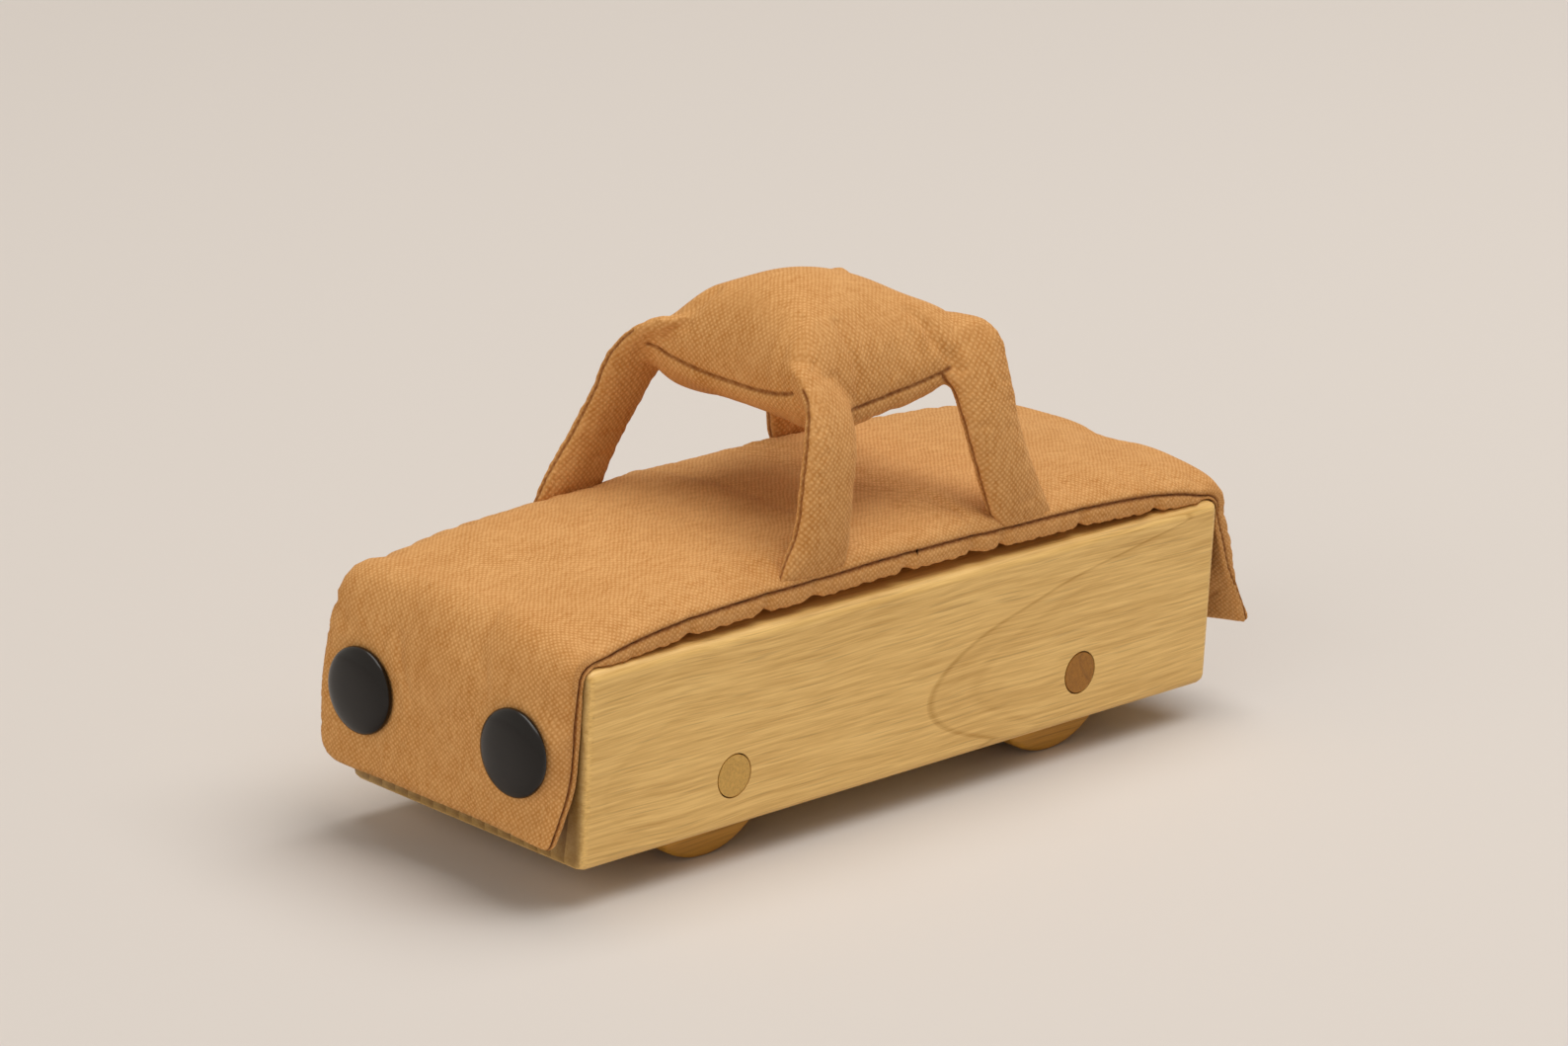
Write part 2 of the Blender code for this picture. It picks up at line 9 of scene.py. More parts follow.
import logging
import math
from dataclasses import dataclass
from enum import Enum
from typing import Any

import bmesh
import bpy
import numpy as np
from bpy.types import Material, Mesh, Node, NodeTree, Object
from mathutils import Matrix, Vector
from mathutils.bvhtree import BVHTree
from mathutils.kdtree import KDTree


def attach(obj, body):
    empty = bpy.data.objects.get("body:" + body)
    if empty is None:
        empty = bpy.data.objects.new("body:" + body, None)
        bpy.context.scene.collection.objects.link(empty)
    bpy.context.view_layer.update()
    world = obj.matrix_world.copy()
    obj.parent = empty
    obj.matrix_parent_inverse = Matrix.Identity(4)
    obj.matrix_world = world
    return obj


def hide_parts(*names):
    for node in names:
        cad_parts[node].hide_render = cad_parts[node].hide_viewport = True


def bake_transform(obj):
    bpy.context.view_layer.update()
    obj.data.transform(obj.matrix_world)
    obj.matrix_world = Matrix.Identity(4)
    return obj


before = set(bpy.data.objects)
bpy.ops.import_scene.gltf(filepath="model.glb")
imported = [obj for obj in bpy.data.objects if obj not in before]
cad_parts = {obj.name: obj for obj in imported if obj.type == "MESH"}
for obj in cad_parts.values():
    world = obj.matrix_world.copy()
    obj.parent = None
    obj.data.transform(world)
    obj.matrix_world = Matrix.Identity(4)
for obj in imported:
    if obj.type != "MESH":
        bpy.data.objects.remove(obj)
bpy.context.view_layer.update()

LOG = logging.getLogger("toy_car")
MM = 0.001
CAP_X = 20.3
CAP_Z = 28.9
Array = np.ndarray
Point = tuple[float, float, float]
Inputs = dict[str | int, Any]


class Way(Enum):
    """A way along or across the car, whose name in small letters stands in its nodes' names."""

    @property
    def word(self) -> str:
        """The name in small letters."""
        return self.name.lower()


class End(Way):
    """An end of the car, with the sign of its y."""

    FRONT = -1
    REAR = 1


class Side(Way):
    """A side of the car, with the sign of its x."""

    LEFT = 1
    RIGHT = -1


class Follows(Enum):
    """What a weave follows: the piece's own weave attribute, or the object's three planes."""

    PIECE = 1
    PLANES = 2


def linear(hex_colour: str) -> tuple[float, float, float, float]:
    """Turns an sRGB hex colour into linear light.

    Args:
        hex_colour: Six hex digits, such as "D29D64".

    Returns:
        Red, green, blue and alpha, from 0 to 1.
    """
    parts = [int(hex_colour[i : i + 2], 16) / 255 for i in (0, 2, 4)]
    light = [c / 12.92 if c <= 0.04045 else ((c + 0.055) / 1.055) ** 2.4 for c in parts]
    return (*light, 1.0)


def feed(tree: NodeTree, node: Node, inputs: Inputs) -> None:
    """Links or sets a node's inputs.

    Args:
        tree: The node tree.
        node: The node.
        inputs: Socket name or number, and the socket to link or the value to set.
    """
    for key, value in inputs.items():
        if isinstance(value, bpy.types.NodeSocket):
            tree.links.new(value, node.inputs[key])
        else:
            node.inputs[key].default_value = value


def add_node(tree: NodeTree, kind: str, inputs: Inputs, **settings: Any) -> Node:
    """Adds a shader node.

    Args:
        tree: The material's or the world's node tree.
        kind: The node's type, such as "ShaderNodeTexNoise".
        inputs: What feed takes.
        settings: Properties of the node itself.

    Returns:
        The new node.
    """
    node = tree.nodes.new(kind)
    for name, value in settings.items():
        setattr(node, name, value)
    feed(tree, node, inputs)
    return node


class Finish:
    """A material under making, with a short method for each kind of node that repeats."""

    def __init__(self, name: str) -> None:
        """Starts the material, under its name."""
        self.material = bpy.data.materials.new(name)
        self.material.use_nodes = True
        self.tree = self.material.node_tree

    def close(self, inputs: Inputs) -> Material:
        """Feeds the Principled shader's own sockets and returns the material."""
        feed(self.tree, self.tree.nodes["Principled BSDF"], inputs)
        return self.material

    def add(self, kind: str, inputs: Inputs, **settings: Any) -> Node:
        """Adds any node, as add_node does."""
        return add_node(self.tree, kind, inputs, **settings)

    def math(self, operation: str, *values: Any) -> Any:
        """Returns the result of a Math node, from up to three numbers or sockets."""
        return self.add("ShaderNodeMath", dict(enumerate(values)), operation=operation).outputs[0]

    def vector(self, operation: str, first: Any, second: Any) -> Any:
        """Returns the result of a Vector Math node."""
        outputs = self.add("ShaderNodeVectorMath", {0: first, 1: second}, operation=operation).outputs
        return outputs["Value" if operation == "DOT_PRODUCT" else "Vector"]

    def scaled(self, place: Any, factor: float) -> Any:
        """Returns a place times a factor."""
        return self.add("ShaderNodeVectorMath", {0: place, "Scale": factor}, operation="SCALE").outputs[0]

    def place(self) -> Any:
        """Returns the place in the object, in metres."""
        return self.add("ShaderNodeTexCoord", {}).outputs["Object"]

    def carried(self, name: str) -> Any:
        """Returns three numbers that the piece's vertices carry."""
        return self.add("ShaderNodeAttribute", {}, attribute_name=name).outputs["Vector"]

    def split(self, values: Any) -> list[Any]:
        """Returns x, y and z apart."""
        return list(self.add("ShaderNodeSeparateXYZ", {0: values}).outputs)

    def plane(self, u: Any, v: Any) -> Any:
        """Returns a flat place."""
        return self.add("ShaderNodeCombineXYZ", {0: u, 1: v}).outputs[0]

    def noise(self, at: Any, scale: float, detail: float = 2.0, rough: float = 0.5, out: str = "Fac") -> Any:
        """Returns a noise, as a factor or a colour."""
        inputs = {"Vector": at, "Scale": scale, "Detail": detail, "Roughness": rough}
        return self.add("ShaderNodeTexNoise", inputs).outputs[out]

    def span(self, value: Any, low: float, high: float, top: float, way: str = "SMOOTHSTEP") -> Any:
        """Returns 0 at low and top at high, with a soft or a straight change between."""
        inputs = {"Value": value, "From Min": low, "From Max": high, "To Max": top}
        return self.add("ShaderNodeMapRange", inputs, interpolation_type=way).outputs[0]

    def ramp(self, factor: Any, *stops: tuple[float, Any]) -> Any:
        """Returns a colour ramp's colour.

        Args:
            factor: The socket that drives the ramp.
            stops: Pairs of place and linear colour, in order.
        """
        node = self.add("ShaderNodeValToRGB", {"Fac": factor})
        band = node.color_ramp.elements
        while len(band) < len(stops):
            band.new(0.5)
        for element, (place, colour) in zip(band, stops):
            element.position = place
            element.color = colour
        return node.outputs["Color"]

    def mix(self, share: Any, first: Any, hex_colour: str) -> Any:
        """Returns the first colour with a share of the second."""
        inputs = {0: share, 6: first, 7: linear(hex_colour)}
        return self.add("ShaderNodeMix", inputs, data_type="RGBA").outputs[2]

    def bump(self, height: Any, strength: float, depth: float) -> Any:
        """Returns a normal bent by a height, whose depth is in millimetres."""
        inputs = {"Height": height, "Strength": strength, "Distance": depth * MM}
        return self.add("ShaderNodeBump", inputs).outputs[0]


@dataclass(frozen=True)
class WovenCotton:
    """Plain-woven cotton canvas, cut on the bias, so that its threads cross each edge at 45 degrees.

    The threads show as fine ribs: upright ones on the deck and the roof from the camera, and a
    cross-hatch on the straps. Cotton is matt with a soft sheen from its loose fibres.
    """

    name: str
    follows: Follows = Follows.PIECE
    light: str = "DEAA6C"
    shade: str = "B67A38"
    # seam: the colour of the painted shade along each seam's groove.
    seam: str = "78400E"
    speck: str = "7A4A1C"
    seam_shade_width: float = 0.70
    pitches: Point = (0.75, 0.75, 0.75)
    contrasts: Point = (1.0, 1.0, 1.0)
    relief: float = 0.07

    def threads(self, nodes: Finish, flat: Any, pitch: float, contrast: float) -> tuple[Any, Any]:
        """Adds the two sets of crossing threads.

        Args:
            nodes: The material under making.
            flat: The place on the cloth, in millimetres.
            pitch: Thread spacing in millimetres.
            contrast: How strongly the threads show.

        Returns:
            The tone's and the height's sockets, both about zero.
        """
        wander = nodes.scaled(nodes.noise(flat, 0.16, out="Color"), 1.2)
        cloth = nodes.vector("ADD", flat, wander)
        turn_rate = 2 * math.pi / pitch / math.sqrt(2)
        waves = []
        slubs = []
        for way in (1, -1):
            phase = nodes.vector("DOT_PRODUCT", cloth, (turn_rate, way * turn_rate, 0.0))
            waves.append(nodes.math("SINE", phase))
            # Each thread has its own thickness and shade along a few millimetres.
            turned = (0.0, 0.0, -way * math.pi / 4)
            drawn = {"Vector": cloth, "Rotation": turned, "Scale": (1.0 / pitch, 0.30, 1.0)}
            slubs.append(nodes.noise(nodes.add("ShaderNodeMapping", drawn).outputs[0], 1.0, 3.0, 0.65))
        ribs = nodes.math("MULTIPLY", nodes.math("ADD", *waves), 0.25)
        knots = nodes.math("MULTIPLY_ADD", nodes.math("MULTIPLY", *waves), 0.2, ribs)
        uneven = nodes.math("SUBTRACT", nodes.math("ADD", *slubs), 1.0)
        tone = nodes.math("MULTIPLY_ADD", uneven, 0.75, nodes.math("MULTIPLY", knots, 0.75))
        height = nodes.math("MULTIPLY_ADD", uneven, 0.25, knots)
        return nodes.math("MULTIPLY", tone, contrast), nodes.math("MULTIPLY", height, contrast)

    def weave(self, nodes: Finish, flat: Any) -> tuple[Any, Any]:
        """Adds the whole weave, on the piece's own cloth or on three planes.

        Args:
            nodes: The material under making.
            flat: The place on the cloth or in the object, in millimetres.

        Returns:
            The tone's and the height's sockets.
        """
        if self.follows is Follows.PIECE:
            return self.threads(nodes, flat, self.pitches[2], self.contrasts[2])
        shares = nodes.split(nodes.carried("facing"))
        place = nodes.split(flat)
        tone: Any = 0.0
        height: Any = 0.0
        for way, (first, second) in enumerate(((1, 2), (0, 2), (0, 1))):
            plane = nodes.plane(place[first], place[second])
            one_tone, one_height = self.threads(nodes, plane, self.pitches[way], self.contrasts[way])
            tone = nodes.math("MULTIPLY_ADD", one_tone, shares[way], tone)
            height = nodes.math("MULTIPLY_ADD", one_height, shares[way], height)
        return tone, height

    def build(self) -> Material:
        """Returns the material. A weave attribute holds u, v and the way to the seam, in millimetres."""
        nodes = Finish(self.name)
        u, v, to_seam = nodes.split(nodes.carried("weave"))
        on_piece = self.follows is Follows.PIECE
        flat = nodes.plane(u, v) if on_piece else nodes.scaled(nodes.place(), 1 / MM)
        threads, height = self.weave(nodes, flat)
        mottle = nodes.math("MULTIPLY_ADD", nodes.noise(flat, 0.09, 5.0, 0.6), 0.6, 0.2)
        lint = nodes.math("MULTIPLY_ADD", nodes.noise(flat, 1.1, 2.0, 0.7), 0.7, -0.35)
        tone = nodes.math("ADD", nodes.math("ADD", threads, mottle), lint)
        body = nodes.ramp(tone, (0.0, linear(self.shade)), (1.0, linear(self.light)))
        # A few dark specks, where a seed or a knot is spun into the yarn.
        spots = nodes.add("ShaderNodeTexVoronoi", {"Vector": flat, "Scale": 0.045})
        speck = nodes.span(spots.outputs["Distance"], 0.030, 0.014, 0.7)
        body = nodes.mix(speck, body, self.speck)
        # Painted shade: a dark line along each seam's groove, where shade falls between the padded cloths,
        # lighter and darker in short dashes along its run.
        run = nodes.math("MULTIPLY", nodes.math("ADD", u, v), 2.6)
        dash = nodes.math("MULTIPLY_ADD", nodes.math("SINE", run), 0.10, 0.82)
        line = nodes.span(to_seam, self.seam_shade_width, 0.08, 1.0)
        return nodes.close(
            {
                "Base Color": nodes.mix(nodes.math("MULTIPLY", line, dash), body, self.seam),
                "Normal": nodes.bump(height, 0.9, self.relief),
                "Roughness": 0.9,
                "Sheen Weight": 0.10,
                "Sheen Roughness": 0.4,
                "Sheen Tint": linear(self.light),
            }
        )


@dataclass(frozen=True)
class SawnHardwood:
    """Pale hardwood, sawn and sanded: growth rings, fibre streaks and pores run through the solid.

    The tree's axis lies far to one side and tilts a little, so the ends show upright bands and the
    sides show one arched figure among fine level lines. Oiled, sanded wood is satin.
    """

    name: str
    early: str
    late: str
    pore: str
    tree_axis: tuple[float, float] = (-62.0, 20.5)
    taper: float = 0.040
    waver: Point = (0.6, 3.0, 4.0)
    ring_pitch: float = 3.4
    ring_phase: float = 0.0
    ring_strength: float = 0.42
    faint_share: float = 0.15
    fibre_strength: float = 0.5
    along: Point = (0.0, 1.0, 0.0)
    ends_at: float = 84.0
    # end_dark and end_colour paint the sawn ends darker: darker end grain with painted shade.
    end_dark: float = 0.0
    end_colour: str = "5E3C10"

    def build(self) -> Material:
        """Returns the material, which reads Object coordinates."""
        nodes = Finish(self.name)
        place = nodes.scaled(nodes.place(), 1 / MM)
        centred = nodes.vector("SUBTRACT", nodes.noise(place, 0.022, 1.2, out="Color"), (0.5, 0.5, 0.5))
        grown = nodes.vector("ADD", place, nodes.vector("MULTIPLY", centred, self.waver))
        x, y, z = nodes.split(grown)
        out = nodes.math("SUBTRACT", x, self.tree_axis[0])
        rise = nodes.math("SUBTRACT", z, self.tree_axis[1])
        radius = nodes.math("SQRT", nodes.math("MULTIPLY_ADD", out, out, nodes.math("MULTIPLY", rise, rise)))
        ring = nodes.math("MULTIPLY_ADD", y, -self.taper, radius)
        turns = nodes.math("MULTIPLY_ADD", ring, 1 / self.ring_pitch, self.ring_phase)
        year = nodes.math("FRACT", turns)
        # Late wood darkens a little towards the end of each year, and stops at a thin dark line.
        early = ((0, 0), (0.80, 0.10), (0.83, 0.35), (0.86, 0.12))
        late = ((0.962, 0.25), (0.982, 1), (0.993, 0.6), (1, 0))
        band = nodes.ramp(year, *((at, (grey, grey, grey, 1.0)) for at, grey in early + late))
        # Every second year's line is faint.
        odd = nodes.math("MODULO", nodes.math("FLOOR", turns), 2.0)
        faint = self.faint_share * self.ring_strength
        plain = nodes.math("MULTIPLY_ADD", odd, (1 - self.faint_share) * self.ring_strength, faint)
        tone = nodes.math("SUBTRACT", 0.78, nodes.math("MULTIPLY", band, plain))
        # Fibres: long flames, then level dashes about a millimetre apart.
        for scale, drawn_out, share in ((0.30, 0.05, 0.4), (1.5, 0.028, 1.0), (3.4, 0.03, 0.8)):
            drawn = nodes.vector("MULTIPLY", grown, tuple(drawn_out if way else 1.0 for way in self.along))
            fibre = nodes.noise(drawn, scale, rough=0.6)
            strength = share * self.fibre_strength
            tone = nodes.math("ADD", tone, nodes.math("MULTIPLY_ADD", fibre, 2 * strength, -strength))
        body = nodes.ramp(tone, (0.0, linear(self.late)), (1.0, linear(self.early)))
        vessels = nodes.vector("MULTIPLY", grown, tuple(0.06 if way else 2.4 for way in self.along))
        dark = nodes.span(nodes.noise(vessels, 1.0, 1.0), 0.60, 0.74, 0.28, "LINEAR")
        body = nodes.mix(dark, body, self.pore)
        # The sawn ends are painted darker: partly end grain, which takes up more oil, and partly painted shade
        # that falls on the ends under the flaps. It is strongest in the late wood, so the years show as
        # upright bands.
        from_middle = nodes.math("ABSOLUTE", nodes.split(place)[1])
        end_grain_and_shade = nodes.span(from_middle, self.ends_at - 1.0, self.ends_at - 0.1, self.end_dark, "LINEAR")
        end_grain_and_shade = nodes.math("MULTIPLY", end_grain_and_shade, nodes.math("MULTIPLY_ADD", year, 0.24, 0.6))
        return nodes.close(
            {
                "Base Color": nodes.mix(end_grain_and_shade, body, self.end_colour),
                "Normal": nodes.bump(nodes.math("SUBTRACT", fibre, dark), 0.35, 0.08),
                "Roughness": 0.48,
                "IOR": 1.45,
            }
        )


@dataclass(frozen=True)
class EnamelledCap:
    """Pressed steel with a thick black-brown enamel: glossy, with a faint orange-peel and fine scuffs."""

    name: str
    colour: str = "0C0705"
    roughness: float = 0.17
    scuffed: float = 0.12

    def build(self) -> Material:
        """Returns the material."""
        nodes = Finish(self.name)
        place = nodes.place()
        scuffs = {"Value": nodes.noise(place, 260.0, 6.0), "To Min": self.roughness}
        scuffs["To Max"] = self.roughness + self.scuffed
        return nodes.close(
            {
                "Base Color": linear(self.colour),
                "Normal": nodes.bump(nodes.noise(place, 900.0), 0.05, 0.02),
                "Roughness": nodes.add("ShaderNodeMapRange", scuffs).outputs[0],
                "IOR": 1.43,
            }
        )


@dataclass(frozen=True)
class StampedBrass:
    """Stamped brass, dulled by handling: a soft yellow gleam with uneven tarnish."""

    name: str
    bright: str = "C9A766"
    dull: str = "8A6B3A"

    def build(self) -> Material:
        """Returns the material."""
        nodes = Finish(self.name)
        tarnish = nodes.noise(nodes.place(), 420.0, 5.0)
        body = nodes.ramp(tarnish, (0.35, linear(self.dull)), (0.65, linear(self.bright)))
        return nodes.close({"Base Color": body, "Metallic": 1.0, "Roughness": 0.34})


@dataclass(frozen=True)
class Run:
    """A size that changes smoothly along a path, through (place, size) stations in millimetres."""

    stations: tuple[tuple[float, float], ...]

    def at(self, place: Array) -> Array:
        """Returns the size at each place, by a cubic through the stations that holds past its ends."""
        places, sizes = np.array(self.stations, dtype=float).T
        slopes = np.gradient(sizes, places)
        low = np.clip(np.searchsorted(places, place, side="right") - 1, 0, len(places) - 2)
        step = places[low + 1] - places[low]
        t = np.clip((place - places[low]) / step, 0.0, 1.0)
        start = (1 + 2 * t) * (1 - t) ** 2 * sizes[low] + t * (1 - t) ** 2 * step * slopes[low]
        finish = t * t * (3 - 2 * t) * sizes[low + 1] + t * t * (t - 1) * step * slopes[low + 1]
        return start + finish


def eased(share: Array) -> Array:
    """Turns a straight 0 to 1 into one that starts and ends gently."""
    held = np.clip(share, 0.0, 1.0)
    return held * held * (3 - 2 * held)


def near(away: Array, reach: float, power: int = 2) -> Array:
    """Returns 1 at no distance, which falls off at about this reach."""
    return np.exp(-((away / reach) ** power))


def rounded(angle: Array, power: float) -> tuple[Array, Array]:
    """Returns points of a superellipse.

    Args:
        angle: Angles from the crown, in radians.
        power: 2 for an ellipse, more for a squarer form.

    Returns:
        The share across, from -1 to 1, and the share of the full height.
    """
    across = np.sign(np.sin(angle)) * np.abs(np.sin(angle)) ** (2 / power)
    return across, np.clip(np.cos(angle), 0.0, 1.0) ** (2 / power)


def gathers(run: Array, pitch: float) -> Array:
    """Returns an uneven wave of this pitch, from -1 to 1, as a stitched edge gathers."""
    turns = 2 * math.pi * run
    slow = 1.1 * np.sin(turns / (6.3 * pitch) + 0.7)
    return 0.6 * np.sin(turns / pitch + slow) + 0.4 * np.sin(turns / (1.7 * pitch) + 2.1)


def even_angle(share: Array, power: float, width: float, height: float) -> Array:
    """Returns the angle at an even share of a superellipse's length.

    Args:
        share: From -1 to 1 across the whole section.
        power: The superellipse's power.
        width: Its half width.
        height: Its height.

    Returns:
        Angles from the crown, in radians.
    """
    angles = (np.linspace(0.0, 1.0, 4001) ** 2) * math.pi / 2
    across, high = rounded(angles, power)
    steps = np.hypot(np.diff(across * width), np.diff(high * height))
    run = np.concatenate([[0.0], np.cumsum(steps)])
    return np.sign(share) * np.interp(np.abs(share) * run[-1], run, angles)


def run_across(points: Array, a: Array, b: Array, sheet: Array) -> Array:
    """Returns the distance along the cloth from the piece's middle line, in millimetres.

    Args:
        points: The placed points.
        a: Share across.
        b: Share along.
        sheet: The sheet's number.
    """
    order = np.lexsort((a, b, sheet))
    columns = len(np.unique(np.round(a, 6)))
    rows = points[order].reshape(-1, columns, 3)
    steps = np.linalg.norm(np.diff(rows, axis=1), axis=2)
    run = np.concatenate([np.zeros((len(rows), 1)), np.cumsum(steps, axis=1)], axis=1)
    run -= run[:, [columns // 2]]
    out = np.empty(len(points))
    out[order] = run.ravel()
    return out


def link(name: str, data: Any) -> Object:
    """Puts a mesh, a lamp or a camera in the scene, as an object of this name."""
    made = bpy.data.objects.new(name, data)
    bpy.context.scene.collection.objects.link(made)
    return made


def in_order(bm: bmesh.types.BMesh) -> None:
    """Sorts edges and faces by their vertices, since spin and extrude write them in another order each run."""
    count = len(bm.verts)
    bm.verts.index_update()

    def rank(item: Any) -> float:
        """Returns one number from an edge's or a face's three lowest vertices."""
        low = sorted(vert.index for vert in item.verts)[:3]
        return float(sum(index * count**power for power, index in enumerate(reversed(low))))

    bm.edges.sort(key=rank)
    bm.faces.sort(key=rank)


def shaped(bm: bmesh.types.BMesh, name: str, material: Material | None = None) -> Object:
    """Ends a bmesh and puts it in the scene, written the same way each run.

    Args:
        bm: The finished shape, which is freed.
        name: The object's name.
        material: Its finish.

    Returns:
        The object.
    """
    made = link(name, bpy.data.meshes.new(name))
    in_order(bm)
    bm.to_mesh(made.data)
    bm.free()
    ends = np.empty(len(made.data.edges) * 2, dtype=np.int32)
    made.data.edges.foreach_get("vertices", ends)
    made.data.edges.foreach_set("vertices", np.sort(ends.reshape(-1, 2)).ravel())
    if material:
        made.data.materials.append(material)
    return made


def vertex_values(mesh: Mesh, name: str) -> Array:
    """Returns a value of every vertex, such as "co" or "normal", as rows of three."""
    values = np.empty(len(mesh.vertices) * 3)
    mesh.vertices.foreach_get(name, values)
    return values.reshape(-1, 3)


def carry(mesh: Mesh, name: str, values: Array) -> None:
    """Stores rows of three numbers on a mesh's vertices, under this name."""
    layer = mesh.attributes.get(name) or mesh.attributes.new(name, "FLOAT_VECTOR", "POINT")
    layer.data.foreach_set("vector", values.ravel())


def weigh(piece: Object, name: str, weights: Array) -> None:
    """Gives the piece a vertex group with these weights, in steps of a twentieth."""
    group = piece.vertex_groups.new(name=name)
    for step in range(21):
        chosen = np.nonzero(np.round(weights * 20) == step)[0]
        if len(chosen):
            group.add([int(index) for index in chosen], step / 20, "REPLACE")


def modify(made: Object, name: str, kind: str, **settings: Any) -> Any:
    """Adds a modifier with these settings, and returns it."""
    modifier = made.modifiers.new(name, kind)
    for key, value in settings.items():
        setattr(modifier, key, value)
    return modifier


def applied(made: Object, name: str) -> Object:
    """Returns a new object with the modifiers applied, in place of the old one."""
    mesh = bpy.data.meshes.new_from_object(made.evaluated_get(bpy.context.evaluated_depsgraph_get()))
    bpy.data.objects.remove(made, do_unlink=True)
    mesh.name = name
    return link(name, mesh)


def dress(node: str, material: Material) -> None:
    """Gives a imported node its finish."""
    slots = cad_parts[node].material_slots
    if not slots:
        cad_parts[node].data.materials.append(material)
    for slot in slots:
        slot.material = material


@dataclass(frozen=True)
class Stuffing:
    """The wadding's push on its cloth: a short cloth simulation with pressure, at ten times the size."""

    most: float
    pressure: float = 4.0
    slack: float = 0.03
    frames: int = 14
    steps: int = 3
    scale: float = 10.0

    def fill(self, piece: Object, held: Array) -> None:
        """Swells the piece, and applies the result to its mesh.

        Args:
            piece: The closed cloth.
            held: How firmly each vertex is sewn down, from 0 to 1.
        """
        copy = piece.data.copy()
        copy.transform(Matrix.Scale(self.scale, 4))
        pillow = link(f"{piece.name}_filling", copy)
        weigh(pillow, "held", held)
        cloth = modify(pillow, "stuffing", "CLOTH")
        settings = cloth.settings
        settings.quality = self.steps
        settings.use_pressure = True
        settings.uniform_pressure_force = self.pressure
        settings.shrink_min = -self.slack
        settings.vertex_group_mass = "held"
        settings.effector_weights.gravity = 0
        settings.bending_stiffness = 0.3
        cloth.point_cache.frame_start = 1
        cloth.point_cache.frame_end = self.frames
        for step in range(1, self.frames + 1):
            bpy.context.scene.frame_set(step)
        settled = pillow.evaluated_get(bpy.context.evaluated_depsgraph_get()).to_mesh()
        before = vertex_values(piece.data, "co")
        move = vertex_values(settled, "co") / self.scale - before
        far = np.linalg.norm(move, axis=1)
        most = self.most * MM
        move *= (most * np.tanh(far / most) / np.maximum(far, 1e-9))[:, None]
        piece.data.vertices.foreach_set("co", (before + move).ravel())
        piece.data.update()
        kept = np.linalg.norm(move, axis=1).max()
        LOG.info("%s: simulated %.2f mm at most, kept %.2f mm", piece.name, far.max() / MM, kept / MM)
        bpy.data.objects.remove(pillow, do_unlink=True)
        bpy.data.meshes.remove(copy)
        bpy.context.scene.frame_set(1)


def sew(name: str, shape: "CoverHalf | RoofCushion | Strap", material: Material) -> Object:
    """Makes a closed, smooth cloth from a square grid that the shape's put method places.

    Args:
        name: The object's name.
        shape: Its put takes shares a and b from -1 to 1 and the sheet's number, and returns points
            and weave places. Its two_sheets says whether two sheets are joined round their rim.
        material: The cloth.

    Returns:
        The object.
    """
    bm = bmesh.new()
    bmesh.ops.create_grid(bm, x_segments=shape.columns, y_segments=shape.rows, size=1.0)
    if shape.two_sheets:
        made = bmesh.ops.extrude_face_region(bm, geom=bm.faces[:], use_keep_orig=True)
        upper = [item for item in made["geom"] if isinstance(item, bmesh.types.BMVert)]
        bmesh.ops.translate(bm, verts=upper, vec=(0, 0, 1))
    grid = np.array([vert.co[:] for vert in bm.verts])
    points, weave = shape.put(grid[:, 0], grid[:, 1], grid[:, 2])
    layer = bm.verts.layers.float_vector.new("weave")
    for vert, point, threads in zip(bm.verts, points * MM, weave):
        vert.co = point
        vert[layer] = Vector(threads)
    bmesh.ops.remove_doubles(bm, verts=bm.verts[:], dist=0.000004)
    rims = [edge for edge in bm.edges if edge.is_boundary]
    if rims:
        bmesh.ops.holes_fill(bm, edges=rims)
    bmesh.ops.recalc_face_normals(bm, faces=bm.faces[:])
    for face in bm.faces:
        face.smooth = True
    for edge in bm.edges:
        # The cover's halves meet at the middle, where the cloth runs on without a crease.
        edge.smooth = any(abs(vert.co.y) > 1e-6 for vert in edge.verts)
    return shaped(bm, name, material)


@dataclass(frozen=True)
class BlockShape:
    """The wooden block's outline, as far as the cloth follows it."""

    top: float = 44.7
    half_length: float = 84.0
    edge_round: float = 2.0

    @property
    def flat_end(self) -> float:
        """How far along the top stays flat."""
        return self.half_length - self.edge_round

    @property
    def fold(self) -> float:
        """The length of the path over the rounded edge."""
        return self.edge_round * math.pi / 2

    def off(self, end: End, path: Array, level: Array) -> tuple[Array, Array]:
        """Returns y and z at a distance off the block's outline.

        Args:
            end: The end that the path runs to.
            path: Distance from the middle of the top, over the edge and down the end.
            level: Distance off the wood.
        """
        past = path - self.flat_end
        turned = np.clip(past / self.edge_round, 0.0, math.pi / 2)
        reach = self.edge_round + level
        down = np.maximum(past - self.fold, 0.0)
        along = np.minimum(path, self.flat_end) + reach * np.sin(turned)
        return end.value * along, self.top - self.edge_round + reach * np.cos(turned) - down


BLOCK = BlockShape()
# The lining's strip under the seam, by its share inward: how far it bulges, and how far down it has run.
STRIP_OUT = Run(((0, -0.55), (0.06, -0.02), (0.12, 0.2), (0.19, 0.05), (0.25, -0.6), (0.31, -1.6)))
STRIP_DOWN = Run(((0, 0), (0.06, 0.15), (0.12, 0.45), (0.19, 0.8), (0.25, 0.98), (0.31, 1)))


